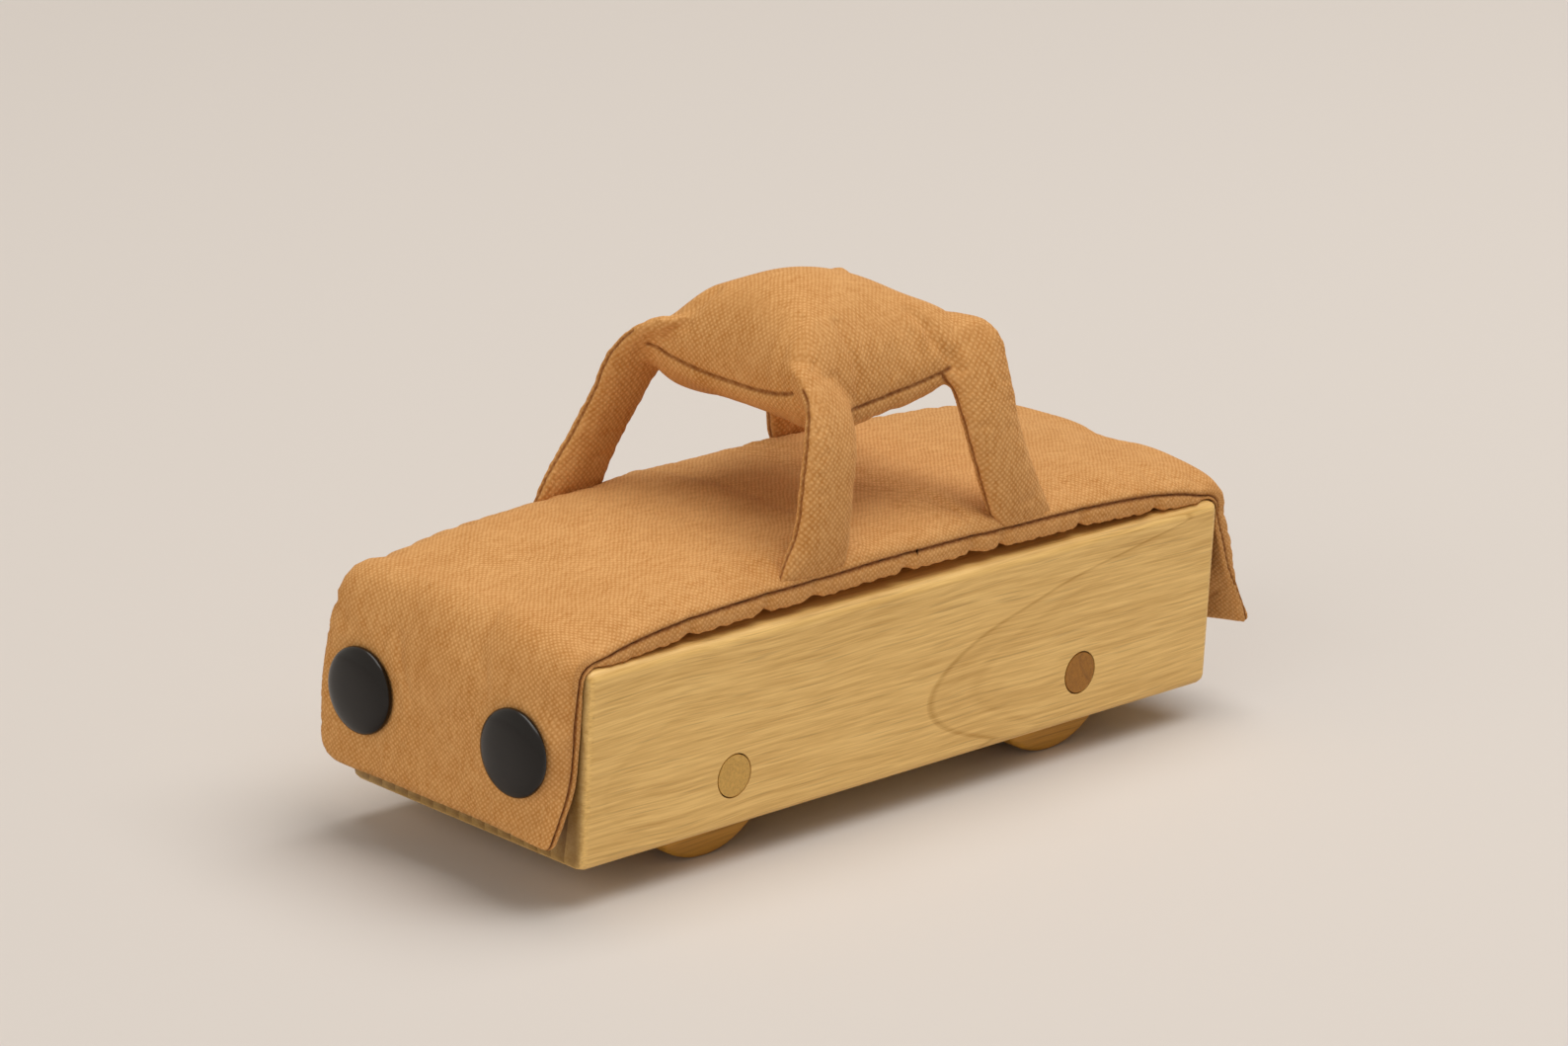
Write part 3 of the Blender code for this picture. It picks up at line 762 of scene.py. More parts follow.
@dataclass(frozen=True)
class CoverHalf:
    """Half of the quilted cover: the deck pad from the car's middle, the fold and one end flap.

    The two halves meet under the roof. Each station below is (path, size), with the path measured
    from the middle of the deck.
    """

    end: End
    flap_length: float
    near_seam: Run
    middle_seam: Run
    far_seam: Run
    over: Run
    under: Run
    strip: Run
    tucks: tuple[float, ...]
    columns: int = 100
    rows: int = 136
    two_sheets: bool = True
    half_width: float = 30.6
    lean: float = -1.0
    groove: float = 0.55
    end_round: float = 2.4
    end_share: float = 0.06
    strip_share: float = 0.31
    deck_power: float = 3.0
    flap_power: float = 5.5
    corner_near: float = 1.2
    corner_far: float = 5.0
    fold_level: float = 5.0
    tuck_pitch: float = 3.1
    cap_reach: float = 9.4
    cap_base: float = 6.95
    socket_top: float = 3.7
    socket_reach: float = 6.5
    dimple: float = 0.35

    @property
    def length(self) -> float:
        """The path from the deck's middle to the flap's end."""
        return BLOCK.flat_end + BLOCK.fold + self.flap_length

    def cloth_run(self, path: Array) -> Array:
        """Returns the distance along the cloth, which runs wider round the fold than the wood does."""
        past = path - BLOCK.flat_end
        turned = np.clip(past / BLOCK.edge_round, 0.0, math.pi / 2)
        wide = (BLOCK.edge_round + self.fold_level) * turned
        return np.minimum(path, BLOCK.flat_end) + wide + np.maximum(past - BLOCK.fold, 0.0)

    def tucked(self, run: Array) -> Array:
        """Returns 1 where the strip is pinched into a tuck and 0 between the tucks."""
        total = sum(near(run - place, 1.5) for place in self.tucks)
        return np.clip(total, 0.0, 1.0)

    def seam_level(self, a: Array, path: Array) -> Array:
        """Returns how far the seam's surface stands off the wood, at a share across and a path."""
        middle = self.middle_seam.at(path)
        left = (self.near_seam.at(path) - middle) * eased((a - 0.30) / 0.70) ** 2
        right = (self.far_seam.at(path) - middle) * eased((-a - 0.45) / 0.55)
        return middle + left + right

    def from_cap(self, x: Array, z: Array, side: Side) -> Array:
        """Returns the distance from a snap's middle."""
        return np.hypot(x - side.value * CAP_X, z - CAP_Z)

    def put(self, a: Array, b: Array, sheet: Array) -> tuple[Array, Array]:
        """Places the cover's points.

        Args:
            a: Share across, from -1 at the right to 1 at the left.
            b: Share along, from -1 at the middle of the deck to 1 at the flap's end.
            sheet: 1 on the outer cloth and 0 on the lining.

        Returns:
            Points and weave places, in millimetres.
        """
        outer = sheet > 0.5
        share = (b + 1) / 2
        straight_share = 1 - self.end_share
        turned = np.clip((share - straight_share) / self.end_share, 0.0, 1.0) * math.pi / 2
        straight = self.length - self.end_round
        path = straight * np.minimum(share / straight_share, 1.0) + self.end_round * np.sin(turned)
        closing = np.where(turned > 0, np.cos(turned) ** 0.8, 1.0)

        # Across: dense towards the sides on both cloths, with room for the lining's strip.
        flat = eased((path - 80) / 12)
        even = a * (1.35 - 0.35 * a * a)
        on_deck = even_angle(even, self.deck_power, 30.0, 5.0)
        angle = on_deck * (1 - flat) + even_angle(even, self.flap_power, 30.0, 1.8) * flat
        across, high = rounded(angle, self.deck_power + (self.flap_power - self.deck_power) * flat)
        inward = 1 - np.abs(a)
        lining_across = np.sign(a) * np.minimum(1.0, np.abs(a) / 0.75)
        seam = self.seam_level(np.where(outer, across, lining_across), path)
        run = self.end.value * path
        tuck = self.tucked(run + self.tuck_pitch * (a < 0))
        ripple = gathers(run + 17 * (a < 0), self.tuck_pitch) * (1 - 0.75 * flat)

        # Rounded bottom corners of the flap, and the seam drawn in at each tuck.
        left_over = np.maximum(self.length - path, 0.0)
        corner = np.where(a > 0, self.corner_near, self.corner_far)
        into = np.clip(1 - left_over / corner, 0.0, 1.0)
        width = self.half_width - corner * (1 - np.sqrt(np.clip(1 - into**2, 0.0, 1.0)))
        width = width - 0.35 * tuck + 0.10 * ripple

        rise = self.over.at(path) * high * closing
        outer_x = width * across - np.sign(a) * self.groove * (1 + 0.5 * tuck) * near(rise, 0.42)
        pucker = 0.09 * ripple * near(rise - 0.9, 1.0) * (rise > 0)
        outer_level = seam + rise - 0.25 * tuck * np.exp(-rise) + pucker

        # The lining: a strip bulges under the seam, then the cloth runs in under the pad.
        on_strip = inward < self.strip_share
        strip = self.strip.at(path) * (1 - 0.16 * tuck + 0.05 * ripple)
        swell = np.clip(strip / 3.0, 0.25, 1.0)
        bulge = STRIP_OUT.at(inward) * np.where(inward < 0.12, 1.0, swell)
        edge = width + bulge - 0.5 * tuck * (inward > 0.02)
        inside = np.clip((inward - self.strip_share) / (1 - self.strip_share), 0.0, 1.0)
        lining_x = np.sign(a) * np.where(on_strip, edge, (width - 1.6 * swell - 0.5 * tuck) * (1 - inside))
        bottom = seam + (np.maximum(seam - self.under.at(path), 0.35) - seam) * closing
        edge_level = seam - strip * STRIP_DOWN.at(inward) * closing
        inner_level = edge_level + (bottom - edge_level) * eased(inside / 0.35)
        lining_level = np.maximum(np.where(on_strip, edge_level, inner_level), 0.3)
        x = np.where(outer, outer_x, lining_x)
        level = np.where(outer, outer_level, lining_level)

        # Wadding lumps under the outer cloth, and the dimples that the caps press.
        lump = 0.18 * np.sin(x / 7.1 + 0.9) * np.sin(run / 8.3 + 0.4) + 0.10 * np.sin(x / 3.3 + run / 5.1)
        level = level + np.where(outer, lump * high**2 * closing, 0.0)
        x = x + self.lean
        on_flap = path > BLOCK.flat_end + BLOCK.fold
        _, z = BLOCK.off(self.end, path, level)
        for side in Side:
            # A closed snap clamps the cloth: the outer one under its cap, the lining on its socket.
            away = self.from_cap(x, z, side)
            raised = near(away, self.cap_reach, 8) * eased((rise - 0.5) / 0.8)
            seated = near(away, self.socket_reach, 8)
            drawn = (self.socket_top - level) * seated
            moved = np.where(outer, np.maximum(self.cap_base - level, 0.0) * raised, drawn)
            level = level + np.where(on_flap, moved, 0.0)
        y, z = BLOCK.off(self.end, path, level)
        for side in Side:
            away = self.from_cap(x, z, side) / self.cap_reach
            swollen = 0.25 * near(away - 1.12, 0.16)
            # The cap holds down the cloth under it, also where the flap's edge flares.
            allowed = 1.1 * np.maximum(away * self.cap_reach - 8.6, 0.0)
            past = self.end.value * y - BLOCK.half_length - self.cap_base - allowed
            press = near(away, 1.0, 4) * self.dimple + np.where(past > 0, past, 0.0)
            y = y - self.end.value * np.where(on_flap & outer, press - swollen, 0.0)
        points = np.stack([x, y, z], axis=1)

        to_seam = np.where(outer, rise, np.minimum(8.2 * inward, np.where(turned > 0, 3.0 * closing, 9.0)))
        along = -self.end.value * self.cloth_run(path)
        return points, np.stack([run_across(points, a, b, sheet), along, to_seam], axis=1)

    def sewn(self, mesh: Mesh) -> Array:
        """Returns how firmly each point is held: the lining, the seams, the middle and the caps."""
        x, y, z = vertex_values(mesh, "co").T / MM
        carried = np.empty(len(x) * 3)
        mesh.attributes["weave"].data.foreach_get("vector", carried)
        held = np.clip(1.25 - carried[2::3] / 1.6, 0.0, 1.0)
        held = np.maximum(held, 1 - eased((np.abs(y) - 4.0) / 16.0))
        for side in Side:
            at_cap = 1 - eased((self.from_cap(x, z, side) - 8.0) / 4.0)
            held = np.where(np.abs(y) > BLOCK.half_length, np.maximum(held, at_cap), held)
        out = vertex_values(mesh, "normal")
        towards = np.where(np.abs(y) > BLOCK.half_length - 1.0, np.sign(y) * out[:, 1], out[:, 2])
        return np.where(towards < -0.1, 1.0, held)

    def build(self, material: Material) -> Object:
        """Makes this half of the cover, bends it at the fold and puts it in the frame."""
        word = self.end.word
        made = sew(f"{word}_cover", self, material)
        Stuffing(most=0.7).fill(made, self.sewn(made.data))
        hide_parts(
            "deck_outer_cloth",
            "deck_wadding",
            "deck_lining",
            f"{word}_fold",
            f"{word}_flap_outer_cloth",
            f"{word}_flap_wadding",
            f"{word}_flap_lining",
        )
        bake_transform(made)
        return made


@dataclass(frozen=True)
class RoofCushion:
    """The stuffed roof: two cloths sewn round their edge, fuller at the front, with sagging sides."""

    width: float = 43.0
    front: float = 24.2
    rear: float = 25.3
    front_rise: float = 39.0
    rear_rise: float = 44.7
    side_sag: float = 8.4
    end_sag: float = 4.2
    middle_sag_share: float = 0.3
    pad_over: float = 13.2
    pad_under: float = 8.6
    fuller_front: float = 0.5
    drawn_in: float = 3.0
    tip: float = 1.2
    shoulder: float = 2.3
    far_rear_lift: float = 2.2
    power: float = 2.8
    groove: float = 0.5
    columns: int = 96
    rows: int = 96
    two_sheets: bool = True

    def seam_point(self, across: Array, along: Array) -> Array:
        """Returns points of the seam's surface, at shares from -1 to 1 across and along."""
        middle = (self.rear - self.front) / 2
        half = (self.rear + self.front) / 2
        x = across * (self.width / 2 - self.drawn_in / 2 * (1 - along**2))
        y = middle + along * (half - self.drawn_in * (1 - across**2))
        corner = self.front_rise + (self.rear_rise - self.front_rise) * (along + 1) / 2
        side = self.side_sag * (1 - along**4) * (across**2 + self.middle_sag_share * (1 - across**2))
        end = self.end_sag * (1 - np.abs(across) ** 2.5) * along**4
        # The straps draw the corners in, and the far rear one stands up.
        tip = self.tip * np.abs(across * along) ** 8
        corner = corner + self.far_rear_lift * (np.clip(-across, 0, 1) * np.clip(along, 0, 1)) ** 6
        z = BLOCK.top + corner - side - end - 0.3 * tip
        return np.stack([x - across * tip, y - along * tip, z], axis=1)

    def put(self, a: Array, b: Array, sheet: Array) -> tuple[Array, Array]:
        """Places the roof's points, as CoverHalf.put does."""
        outer = sheet > 0.5
        across, wide = rounded(a * math.pi / 2, self.power)
        along, long = rounded(b * math.pi / 2, self.power)
        points = self.seam_point(across, along)
        slope = (np.clip(1 - across**2, 0, 1) * np.clip(1 - along**2, 0, 1)) ** 0.42
        high = np.where(outer, slope, wide * long)
        pad = np.where(outer, self.pad_over * (1 - self.fuller_front * along), -self.pad_under)
        ripple = gathers(np.where(np.abs(a) > np.abs(b), points[:, 1], points[:, 0]), 3.4)
        # Over each corner the cloth runs straight on to the strap.
        beside = np.exp(-((np.abs(across) - 0.7) ** 2 + (np.abs(along) - 0.7) ** 2) / 0.07)
        rise = pad * high + np.where(outer, self.shoulder * beside * np.sqrt(high), 0.0)
        points[:, 2] += rise + 0.10 * ripple * near(rise, 1.3) * np.sign(pad) * (high > 0)
        inward = self.groove * near(rise, 0.45)
        points[:, 0] -= np.where(np.abs(a) >= np.abs(b), np.sign(a) * inward, 0.0)
        points[:, 1] -= np.where(np.abs(b) > np.abs(a), np.sign(b) * inward, 0.0)
        return points, np.zeros_like(points)

    def seam_lines(self) -> list[Array]:
        """Returns the seam's four sides between the straps, as points in millimetres."""
        lines = []
        for low, high, value, crossing in (
            (-0.97, 0.80, -1.0, True),
            (-0.70, 0.70, 1.0, True),
            (-0.42, 0.60, 1.0, False),
            (-0.42, 0.60, -1.0, False),
        ):
            run = np.linspace(low, high, 160)
            other = np.full_like(run, value)
            lines.append(self.seam_point(run, other) if crossing else self.seam_point(other, run))
        return lines


@dataclass(frozen=True)
class Strap:
    """A stuffed strap, from the deck's side seam to inside the roof's corner.

    Each station is its centre, its half width, its half thickness and how far its width tips up
    towards the car's end, in degrees. They are measured, from the foot up.
    """

    stations: tuple[tuple[float, ...], ...]
    power: float = 2.5
    columns: int = 72
    rows: int = 90
    two_sheets: bool = False

    def size(self, share: Array) -> list[Array]:
        """Returns the stations' six numbers at shares from foot 0 to top 1, along smooth curves."""
        table = np.array(self.stations)
        run = np.concatenate([[0.0], np.cumsum(np.linalg.norm(np.diff(table[:, :3], axis=0), axis=1))])
        return [Run(tuple(zip(run, column))).at(share * run[-1]) for column in table.T]

    def put(self, a: Array, b: Array, sheet: Array) -> tuple[Array, Array]:
        """Places the strap's points: a runs round it and b from its foot to its top."""
        centre, _, width_way, thick_way, width, thick = self.frame_at((b + 1) / 2)
        wide, _ = rounded(a * math.pi, self.power)
        deep, _ = rounded(a * math.pi + math.pi / 2, self.power)
        points = centre + width_way * (width * wide)[:, None] + thick_way * (thick * deep)[:, None]
        return points, np.zeros_like(points)

    def frame_at(self, share: Array) -> tuple[Array, ...]:
        """Returns the centre, the rising, width and thickness ways, and the half sizes."""
        x, y, z, width, thick, tip = self.size(share)
        centre = np.stack([x, y, z], axis=1)
        ahead = np.stack(self.size(np.clip(share + 0.02, 0, 1))[:3], axis=1)
        behind = np.stack(self.size(np.clip(share - 0.02, 0, 1))[:3], axis=1)
        rise = (ahead - behind) / np.linalg.norm(ahead - behind, axis=1)[:, None]
        angle = np.radians(tip)
        width_way = np.stack([np.zeros_like(x), np.cos(angle), np.sin(angle)], axis=1)
        # The foot is cut level, along the deck's seam.
        width_way -= rise * (np.sum(width_way * rise, axis=1) * eased(share / 0.2))[:, None]
        width_way /= np.linalg.norm(width_way, axis=1)[:, None]
        return centre, rise, width_way, np.cross(rise, width_way), width, thick

    def seam_lines(self) -> list[Array]:
        """Returns the two edge seams, from the foot to the roof, as points in millimetres."""
        centre, _, width_way, _, width, _ = self.frame_at(np.linspace(0.0, 0.76, 160))
        return [centre + side * width_way * (1.04 * width)[:, None] for side in (-1, 1)]


NEAR_FRONT = Strap(
    (
        (28.6, -28.2, 50.5, 8.7, 0.9, 0),
        (28.4, -27.4, 51.6, 8.4, 1.6, 0),
        (28.1, -24.9, 55.5, 7.6, 2.1, 0),
        (27.9, -23.9, 60.5, 6.9, 2.3, -4),
        (27.2, -22.8, 67.0, 6.7, 2.4, -10),
        (25.9, -21.0, 73.0, 6.9, 2.3, -20),
        (22.6, -18.4, 78.8, 7.2, 2.0, -28),
        (18.2, -16.6, 82.6, 7.6, 1.8, -26),
        (12.0, -13.0, 85.0, 6.0, 1.4, -18),
    )
)
NEAR_REAR = Strap(
    (
        (28.5, 31.0, 50.0, 7.8, 0.9, 0),
        (28.3, 30.2, 51.1, 7.6, 1.6, 0),
        (27.8, 27.6, 55.0, 7.1, 2.1, 0),
        (27.3, 24.9, 61.0, 6.8, 2.3, 6),
        (26.3, 22.9, 67.1, 6.6, 2.3, 14),
        (24.9, 21.9, 72.8, 6.6, 2.3, 24),
        (22.8, 21.4, 78.6, 6.8, 2.0, 32),
        (20.0, 21.0, 83.4, 7.5, 1.8, 30),
        (12.5, 18.5, 86.5, 5.6, 1.4, 18),
    )
)
FAR_FRONT = Strap(
    (
        (-30.4, -34.6, 50.4, 8.4, 0.9, 0),
        (-30.1, -33.6, 51.6, 8.1, 1.6, 0),
        (-29.8, -31.0, 55.5, 7.4, 2.1, 0),
        (-29.2, -28.3, 60.7, 6.7, 2.3, -4),
        (-28.0, -26.2, 66.0, 6.5, 2.3, -10),
        (-26.3, -24.6, 71.0, 6.4, 2.2, -18),
        (-24.2, -22.8, 77.6, 6.8, 2.2, -26),
        (-20.8, -20.8, 82.3, 7.2, 1.8, -26),
        (-12.5, -14.5, 86.5, 6.2, 1.4, -18),
    )
)
FAR_REAR = Strap(
    (
        (-30.4, 31.0, 50.0, 7.8, 0.9, 0),
        (-30.1, 30.2, 51.1, 7.6, 1.6, 0),
        (-29.6, 27.6, 55.2, 7.1, 2.1, 0),
        (-28.8, 25.2, 61.0, 6.8, 2.3, 6),
        (-27.4, 23.4, 67.1, 6.6, 2.3, 14),
        (-25.4, 22.2, 72.8, 6.5, 2.2, 24),
        (-23.0, 21.6, 79.0, 7.0, 2.2, 32),
        (-20.0, 21.2, 84.2, 7.8, 2.0, 30),
        (-12.5, 18.5, 86.7, 5.6, 1.4, 18),
    )
)


@dataclass(frozen=True)
class CabinCloth:
    """The roof and its four straps: one sewn and stuffed cloth, in which the straps run into the roof."""

    roof: RoofCushion = RoofCushion()
    straps: tuple[Strap, ...] = (NEAR_FRONT, NEAR_REAR, FAR_FRONT, FAR_REAR)
    voxel: float = 0.9
    smoothing: int = 5
    knees: tuple[Point, ...] = (
        (20.0, -19.0, 83.0),
        (20.5, 21.5, 85.0),
        (-21.0, -21.0, 84.0),
        (-20.5, 21.5, 86.0),
    )
    folds: tuple[tuple[Point, Point], ...] = (
        ((21.5, 16.5, 80.5), (13.0, 11.0, 90.0)),
        ((20.5, -8.5, 79.0), (12.5, -9.0, 90.0)),
        ((14.0, -22.5, 82.0), (11.0, -14.5, 91.0)),
        ((-15.0, -22.5, 84.0), (-10.0, -15.0, 92.0)),
        ((-21.0, 15.0, 83.0), (-13.0, 11.0, 91.0)),
    )
    knee_reach: float = 7.0
    knee_smoothing: int = 22
    groove: float = 0.42
    groove_width: float = 0.42
    crease: float = 0.30
    crease_width: float = 1.1
    held_below: float = 50.0

    def sewn_blank(self, material: Material) -> Object:
        """Joins the closed roof and straps into one even, closed mesh."""
        whole = bmesh.new()
        for number, shape in enumerate([self.roof, *self.straps]):
            part = sew(f"cabin_part_{number}", shape, material)
            whole.from_mesh(part.data)
            bpy.data.objects.remove(part, do_unlink=True)
        blank = shaped(whole, "cabin_blank")
        modify(blank, "joined", "REMESH", mode="VOXEL", voxel_size=self.voxel * MM)
        modify(blank, "even", "SMOOTH", factor=0.5, iterations=self.smoothing)
        made = applied(blank, "cabin_cloth")
        # Where a strap runs into the roof, the cloth bends softly.
        away = vertex_values(made.data, "co")[:, None] / MM - np.array(self.knees)
        weigh(made, "knees", near(np.linalg.norm(away, axis=2).min(axis=1), self.knee_reach))
        modify(made, "soft", "SMOOTH", factor=0.5, iterations=self.knee_smoothing, vertex_group="knees")
        made = applied(made, "cabin_cloth")
        made.data.materials.clear()
        made.data.materials.append(material)
        return made

    def seam_lines(self) -> list[Array]:
        """Returns every seam as a row of points, in millimetres."""
        return [line for shape in (self.roof, *self.straps) for line in shape.seam_lines()]

    def fold_lines(self) -> list[Array]:
        """Returns the creases that run from the straps' inner corners up the roof, in millimetres."""
        share = np.linspace(0.0, 1.0, 60)[:, None]
        return [np.array(low) + (np.array(high) - np.array(low)) * share for low, high in self.folds]

    def to_lines(self, made: Object, lines: list[Array]) -> Array:
        """Returns each point's way to the nearest line, which is first laid on the cloth, in millimetres."""
        tree = BVHTree.FromObject(made, bpy.context.evaluated_depsgraph_get())
        laid: list[Array] = []
        for line in lines:
            smooth = np.array([tree.find_nearest(Vector(point) * MM)[0] for point in line]) / MM
            for _ in range(12):
                smooth[1:-1] = (smooth[:-2] + 2 * smooth[1:-1] + smooth[2:]) / 4
            laid.append(smooth)
        every = np.concatenate(laid)
        search = KDTree(len(every))
        for index, point in enumerate(every):
            search.insert(point, index)
        search.balance()
        return np.array([search.find(point)[2] for point in vertex_values(made.data, "co") / MM])

    def build(self, material: Material) -> Object:
        """Makes the cabin: joined, stuffed, refined and sewn, and puts it in the frame."""
        made = self.sewn_blank(material)
        away = self.to_lines(made, self.seam_lines())
        height = vertex_values(made.data, "co")[:, 2] / MM
        held = np.maximum(np.clip(1.2 - away / 3.0, 0.0, 1.0), 1 - eased((height - self.held_below) / 6.0))
        Stuffing(most=0.35).fill(made, held)
        modify(made, "finer", "SUBSURF", levels=1, render_levels=1)
        made = applied(made, "cabin_cloth")
        away = self.to_lines(made, self.seam_lines())
        creased = self.to_lines(made, self.fold_lines())
        points = vertex_values(made.data, "co")
        normals = vertex_values(made.data, "normal")
        run = points[:, 1] / MM + 0.7 * points[:, 0] / MM + 0.9 * points[:, 2] / MM
        deep = self.groove * near(away, self.groove_width) - 0.08 * gathers(run, 3.2) * near(away - 1.3, 0.7)
        deep += self.crease * near(creased, self.crease_width) - 0.16 * near(creased - 2.2, self.crease_width)
        points -= normals * (deep * MM)[:, None]
        made.data.vertices.foreach_set("co", points.ravel())
        facing = np.abs(normals) ** 4
        carry(made.data, "facing", facing / facing.sum(axis=1)[:, None])
        carry(made.data, "weave", np.stack([run, np.zeros_like(run), away], axis=1))
        made.data.shade_smooth()
        made.data.update()
        pillars = [f"{end.word}_{side.word}_pillar" for end in End for side in Side]
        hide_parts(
            "roof_outer_cloth",
            "roof_stuffing",
            "roof_lining",
            *(f"{pillar}_{layer}" for pillar in pillars for layer in ("cloth", "stuffing")),
        )
        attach(made, "car_body")
        return made


def turn(name: str, profile: list[tuple[float, float]], centre: Point, axis: Point, steps: int) -> Object:
    """Turns a closed profile about an axis.

    Args:
        name: The object's name.
        profile: (radius, height) points in millimetres. A profile that starts off the axis is a ring.
        centre: Where the profile's zero lies, in millimetres.
        axis: The way that heights run.
        steps: How many faces go round.

    Returns:
        The object, smooth but for edges sharper than 38 degrees.
    """
    bm = bmesh.new()
    verts = [bm.verts.new((radius * MM, 0, height * MM)) for radius, height in profile]
    edges = [bm.edges.new(pair) for pair in zip(verts, verts[1:])]
    if profile[0][0] > 0:
        edges.append(bm.edges.new((verts[-1], verts[0])))
    round_z = {"cent": (0, 0, 0), "axis": (0, 0, 1), "angle": 2 * math.pi, "steps": steps}
    bmesh.ops.spin(bm, geom=verts + edges, **round_z, use_merge=True, use_duplicate=False)
    bmesh.ops.remove_doubles(bm, verts=bm.verts[:], dist=0.000002)
    lie = Vector(axis).to_track_quat("Z", "Y").to_matrix().to_4x4()
    bmesh.ops.transform(bm, matrix=Matrix.Translation(Vector(centre) * MM) @ lie, verts=bm.verts[:])
    bmesh.ops.recalc_face_normals(bm, faces=bm.faces[:])
    return crisp(shaped(bm, name), 38)


def crisp(made: Object, degrees: float) -> Object:
    """Shades an object smooth, but for its edges sharper than this, and returns it."""
    made.data.shade_smooth()
    made.data.set_sharp_from_angle(angle=math.radians(degrees))
    return made


@dataclass(frozen=True)
class SnapCap:
    """A domed snap cap: a pressed dome with a rolled rim, on a barrel that goes through the flap."""

    end: End
    side: Side
    diameter: float = 16.4
    base: float = 6.9
    edge: float = 0.6
    dome: float = 2.2
    power: float = 2.3
    barrel: float = 2.2
    barrel_end: float = 3.2
    steps: int = 96

    def build(self, material: Material) -> Object:
        """Makes the cap and puts it in the frame."""
        radius = self.diameter / 2
        rim = self.base + self.edge
        across, high = rounded(np.linspace(0.0, math.pi / 2, 19), self.power)
        profile = [(radius * float(out), rim + self.dome * float(up)) for out, up in zip(across, high)]
        roll = self.edge / 2
        for t in np.linspace(0.0, math.pi, 7)[1:].tolist():
            profile.append((radius - roll + roll * math.cos(t), rim - self.edge * math.sin(t)))
        profile += [(radius - 2 * self.edge, rim), (self.barrel, rim)]
        profile += [(self.barrel, self.barrel_end), (0.0, self.barrel_end)]
        name = f"{self.end.word}_{self.side.word}_snap_cap"
        place = (self.side.value * CAP_X, self.end.value * BLOCK.half_length, CAP_Z)
        made = turn(f"{name}_dome", profile, place, (0, self.end.value, 0), self.steps)
        made.data.materials.append(material)
        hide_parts(name)
        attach(made, f"{self.end.word}_flap")
        return made


@dataclass(frozen=True)
class WoodWheel:
    """A turned hardwood disc with eased edges and a shallow turned ring on each face."""

    end: End
    side: Side
    diameter: float = 35.0
    width: float = 12.0
    round: float = 1.0
    bore: float = 4.3
    centre: Point = (18.45, 46.3, 17.5)
    steps: int = 128

    def build(self, material: Material) -> Object:
        """Makes the wheel and puts it in the frame."""
        half = self.width / 2
        rim = self.diameter / 2
        arc = [math.radians(a) for a in (90, 72, 54, 36, 18, 0)]
        top = [(rim - self.round * (1 - math.cos(a)), half - self.round * (1 - math.sin(a))) for a in arc]
        ring = [(11.5, 0.0), (11.8, 0.3), (12.1, 0.3), (12.4, 0.0)]
        face = [(self.bore, half), *((radius, half - deep) for radius, deep in ring), *top]
        profile = face + [(radius, -height) for radius, height in reversed(face)]
        name = f"{self.end.word}_{self.side.word}_wheel"
        across, along, high = self.centre
        place = (self.side.value * across, self.end.value * along, high)
        made = turn(f"{name}_disc", profile, place, (1, 0, 0), self.steps)
        made.data.materials.append(material)
        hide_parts(name)
        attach(made, f"{name}_body")
        return made


@dataclass(frozen=True)
class TimberBody:
    """The block and its dowels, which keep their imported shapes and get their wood."""

    # The block's ends are painted darker (end_dark): darker end grain with painted shade.
    block: SawnHardwood = SawnHardwood(
        "sanded_pale_hardwood", "F8D083", "B5812B", "7F561E", ring_phase=0.777, end_dark=1.0
    )
    front_dowel: SawnHardwood = SawnHardwood(
        "dowel_end_grain", "DCB05A", "A67E3C", "76521E", ring_pitch=1.6, along=(1.0, 0.0, 0.0)
    )
    rear_dowel: SawnHardwood = SawnHardwood(
        "dark_dowel_end_grain", "AC731C", "7A4C08", "442804", ring_pitch=1.3, along=(1.0, 0.0, 0.0)
    )

    def build(self) -> Object:
        """Dresses the dowels, replaces the block by a merged, softly shaded copy and returns it."""
        dress("front_axle", self.front_dowel.build())
        dress("rear_axle", self.rear_dowel.build())
        bm = bmesh.new()
        bm.from_mesh(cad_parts["body_block"].data)
        bmesh.ops.remove_doubles(bm, verts=bm.verts[:], dist=0.000002)
        flat = math.radians(0.5)
        bmesh.ops.dissolve_limit(bm, angle_limit=flat, verts=bm.verts[:], edges=bm.edges[:])
        made = crisp(shaped(bm, "timber_block", self.block.build()), 40)
        modify(made, "even shading", "WEIGHTED_NORMAL", keep_sharp=True)
        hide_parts("body_block")
        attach(made, "car_body")
        return made


@dataclass(frozen=True)
class Camera:
    """The photograph's camera, solved from the block's corners, the dowel ends and the snap caps."""

    azimuth_deg: float = 43.90
    elevation_deg: float = 17.99
    roll_deg: float = 3.12
    distance: float = 1.1812
    across: float = -0.0014
    above: float = 0.0389
    base: float = 0.0073
    lens: float = 143.48
    sensor: float = 36.0

    def build(self) -> None:
        """Adds the camera and makes it the scene's."""
        data = bpy.data.cameras.new("photograph")
        data.lens = self.lens
        data.sensor_width = self.sensor
        data.clip_end = 20.0
        camera = link("photograph", data)
        ways = ((self.azimuth_deg, "Z"), (90 - self.elevation_deg, "X"), (self.roll_deg, "Z"))
        place = Matrix.Translation((0, 0, self.base))
        for angle, axis in ways:
            place = place @ Matrix.Rotation(math.radians(angle), 4, axis)
        camera.matrix_world = place @ Matrix.Translation((self.across, self.above, self.distance))
        bpy.context.scene.camera = camera


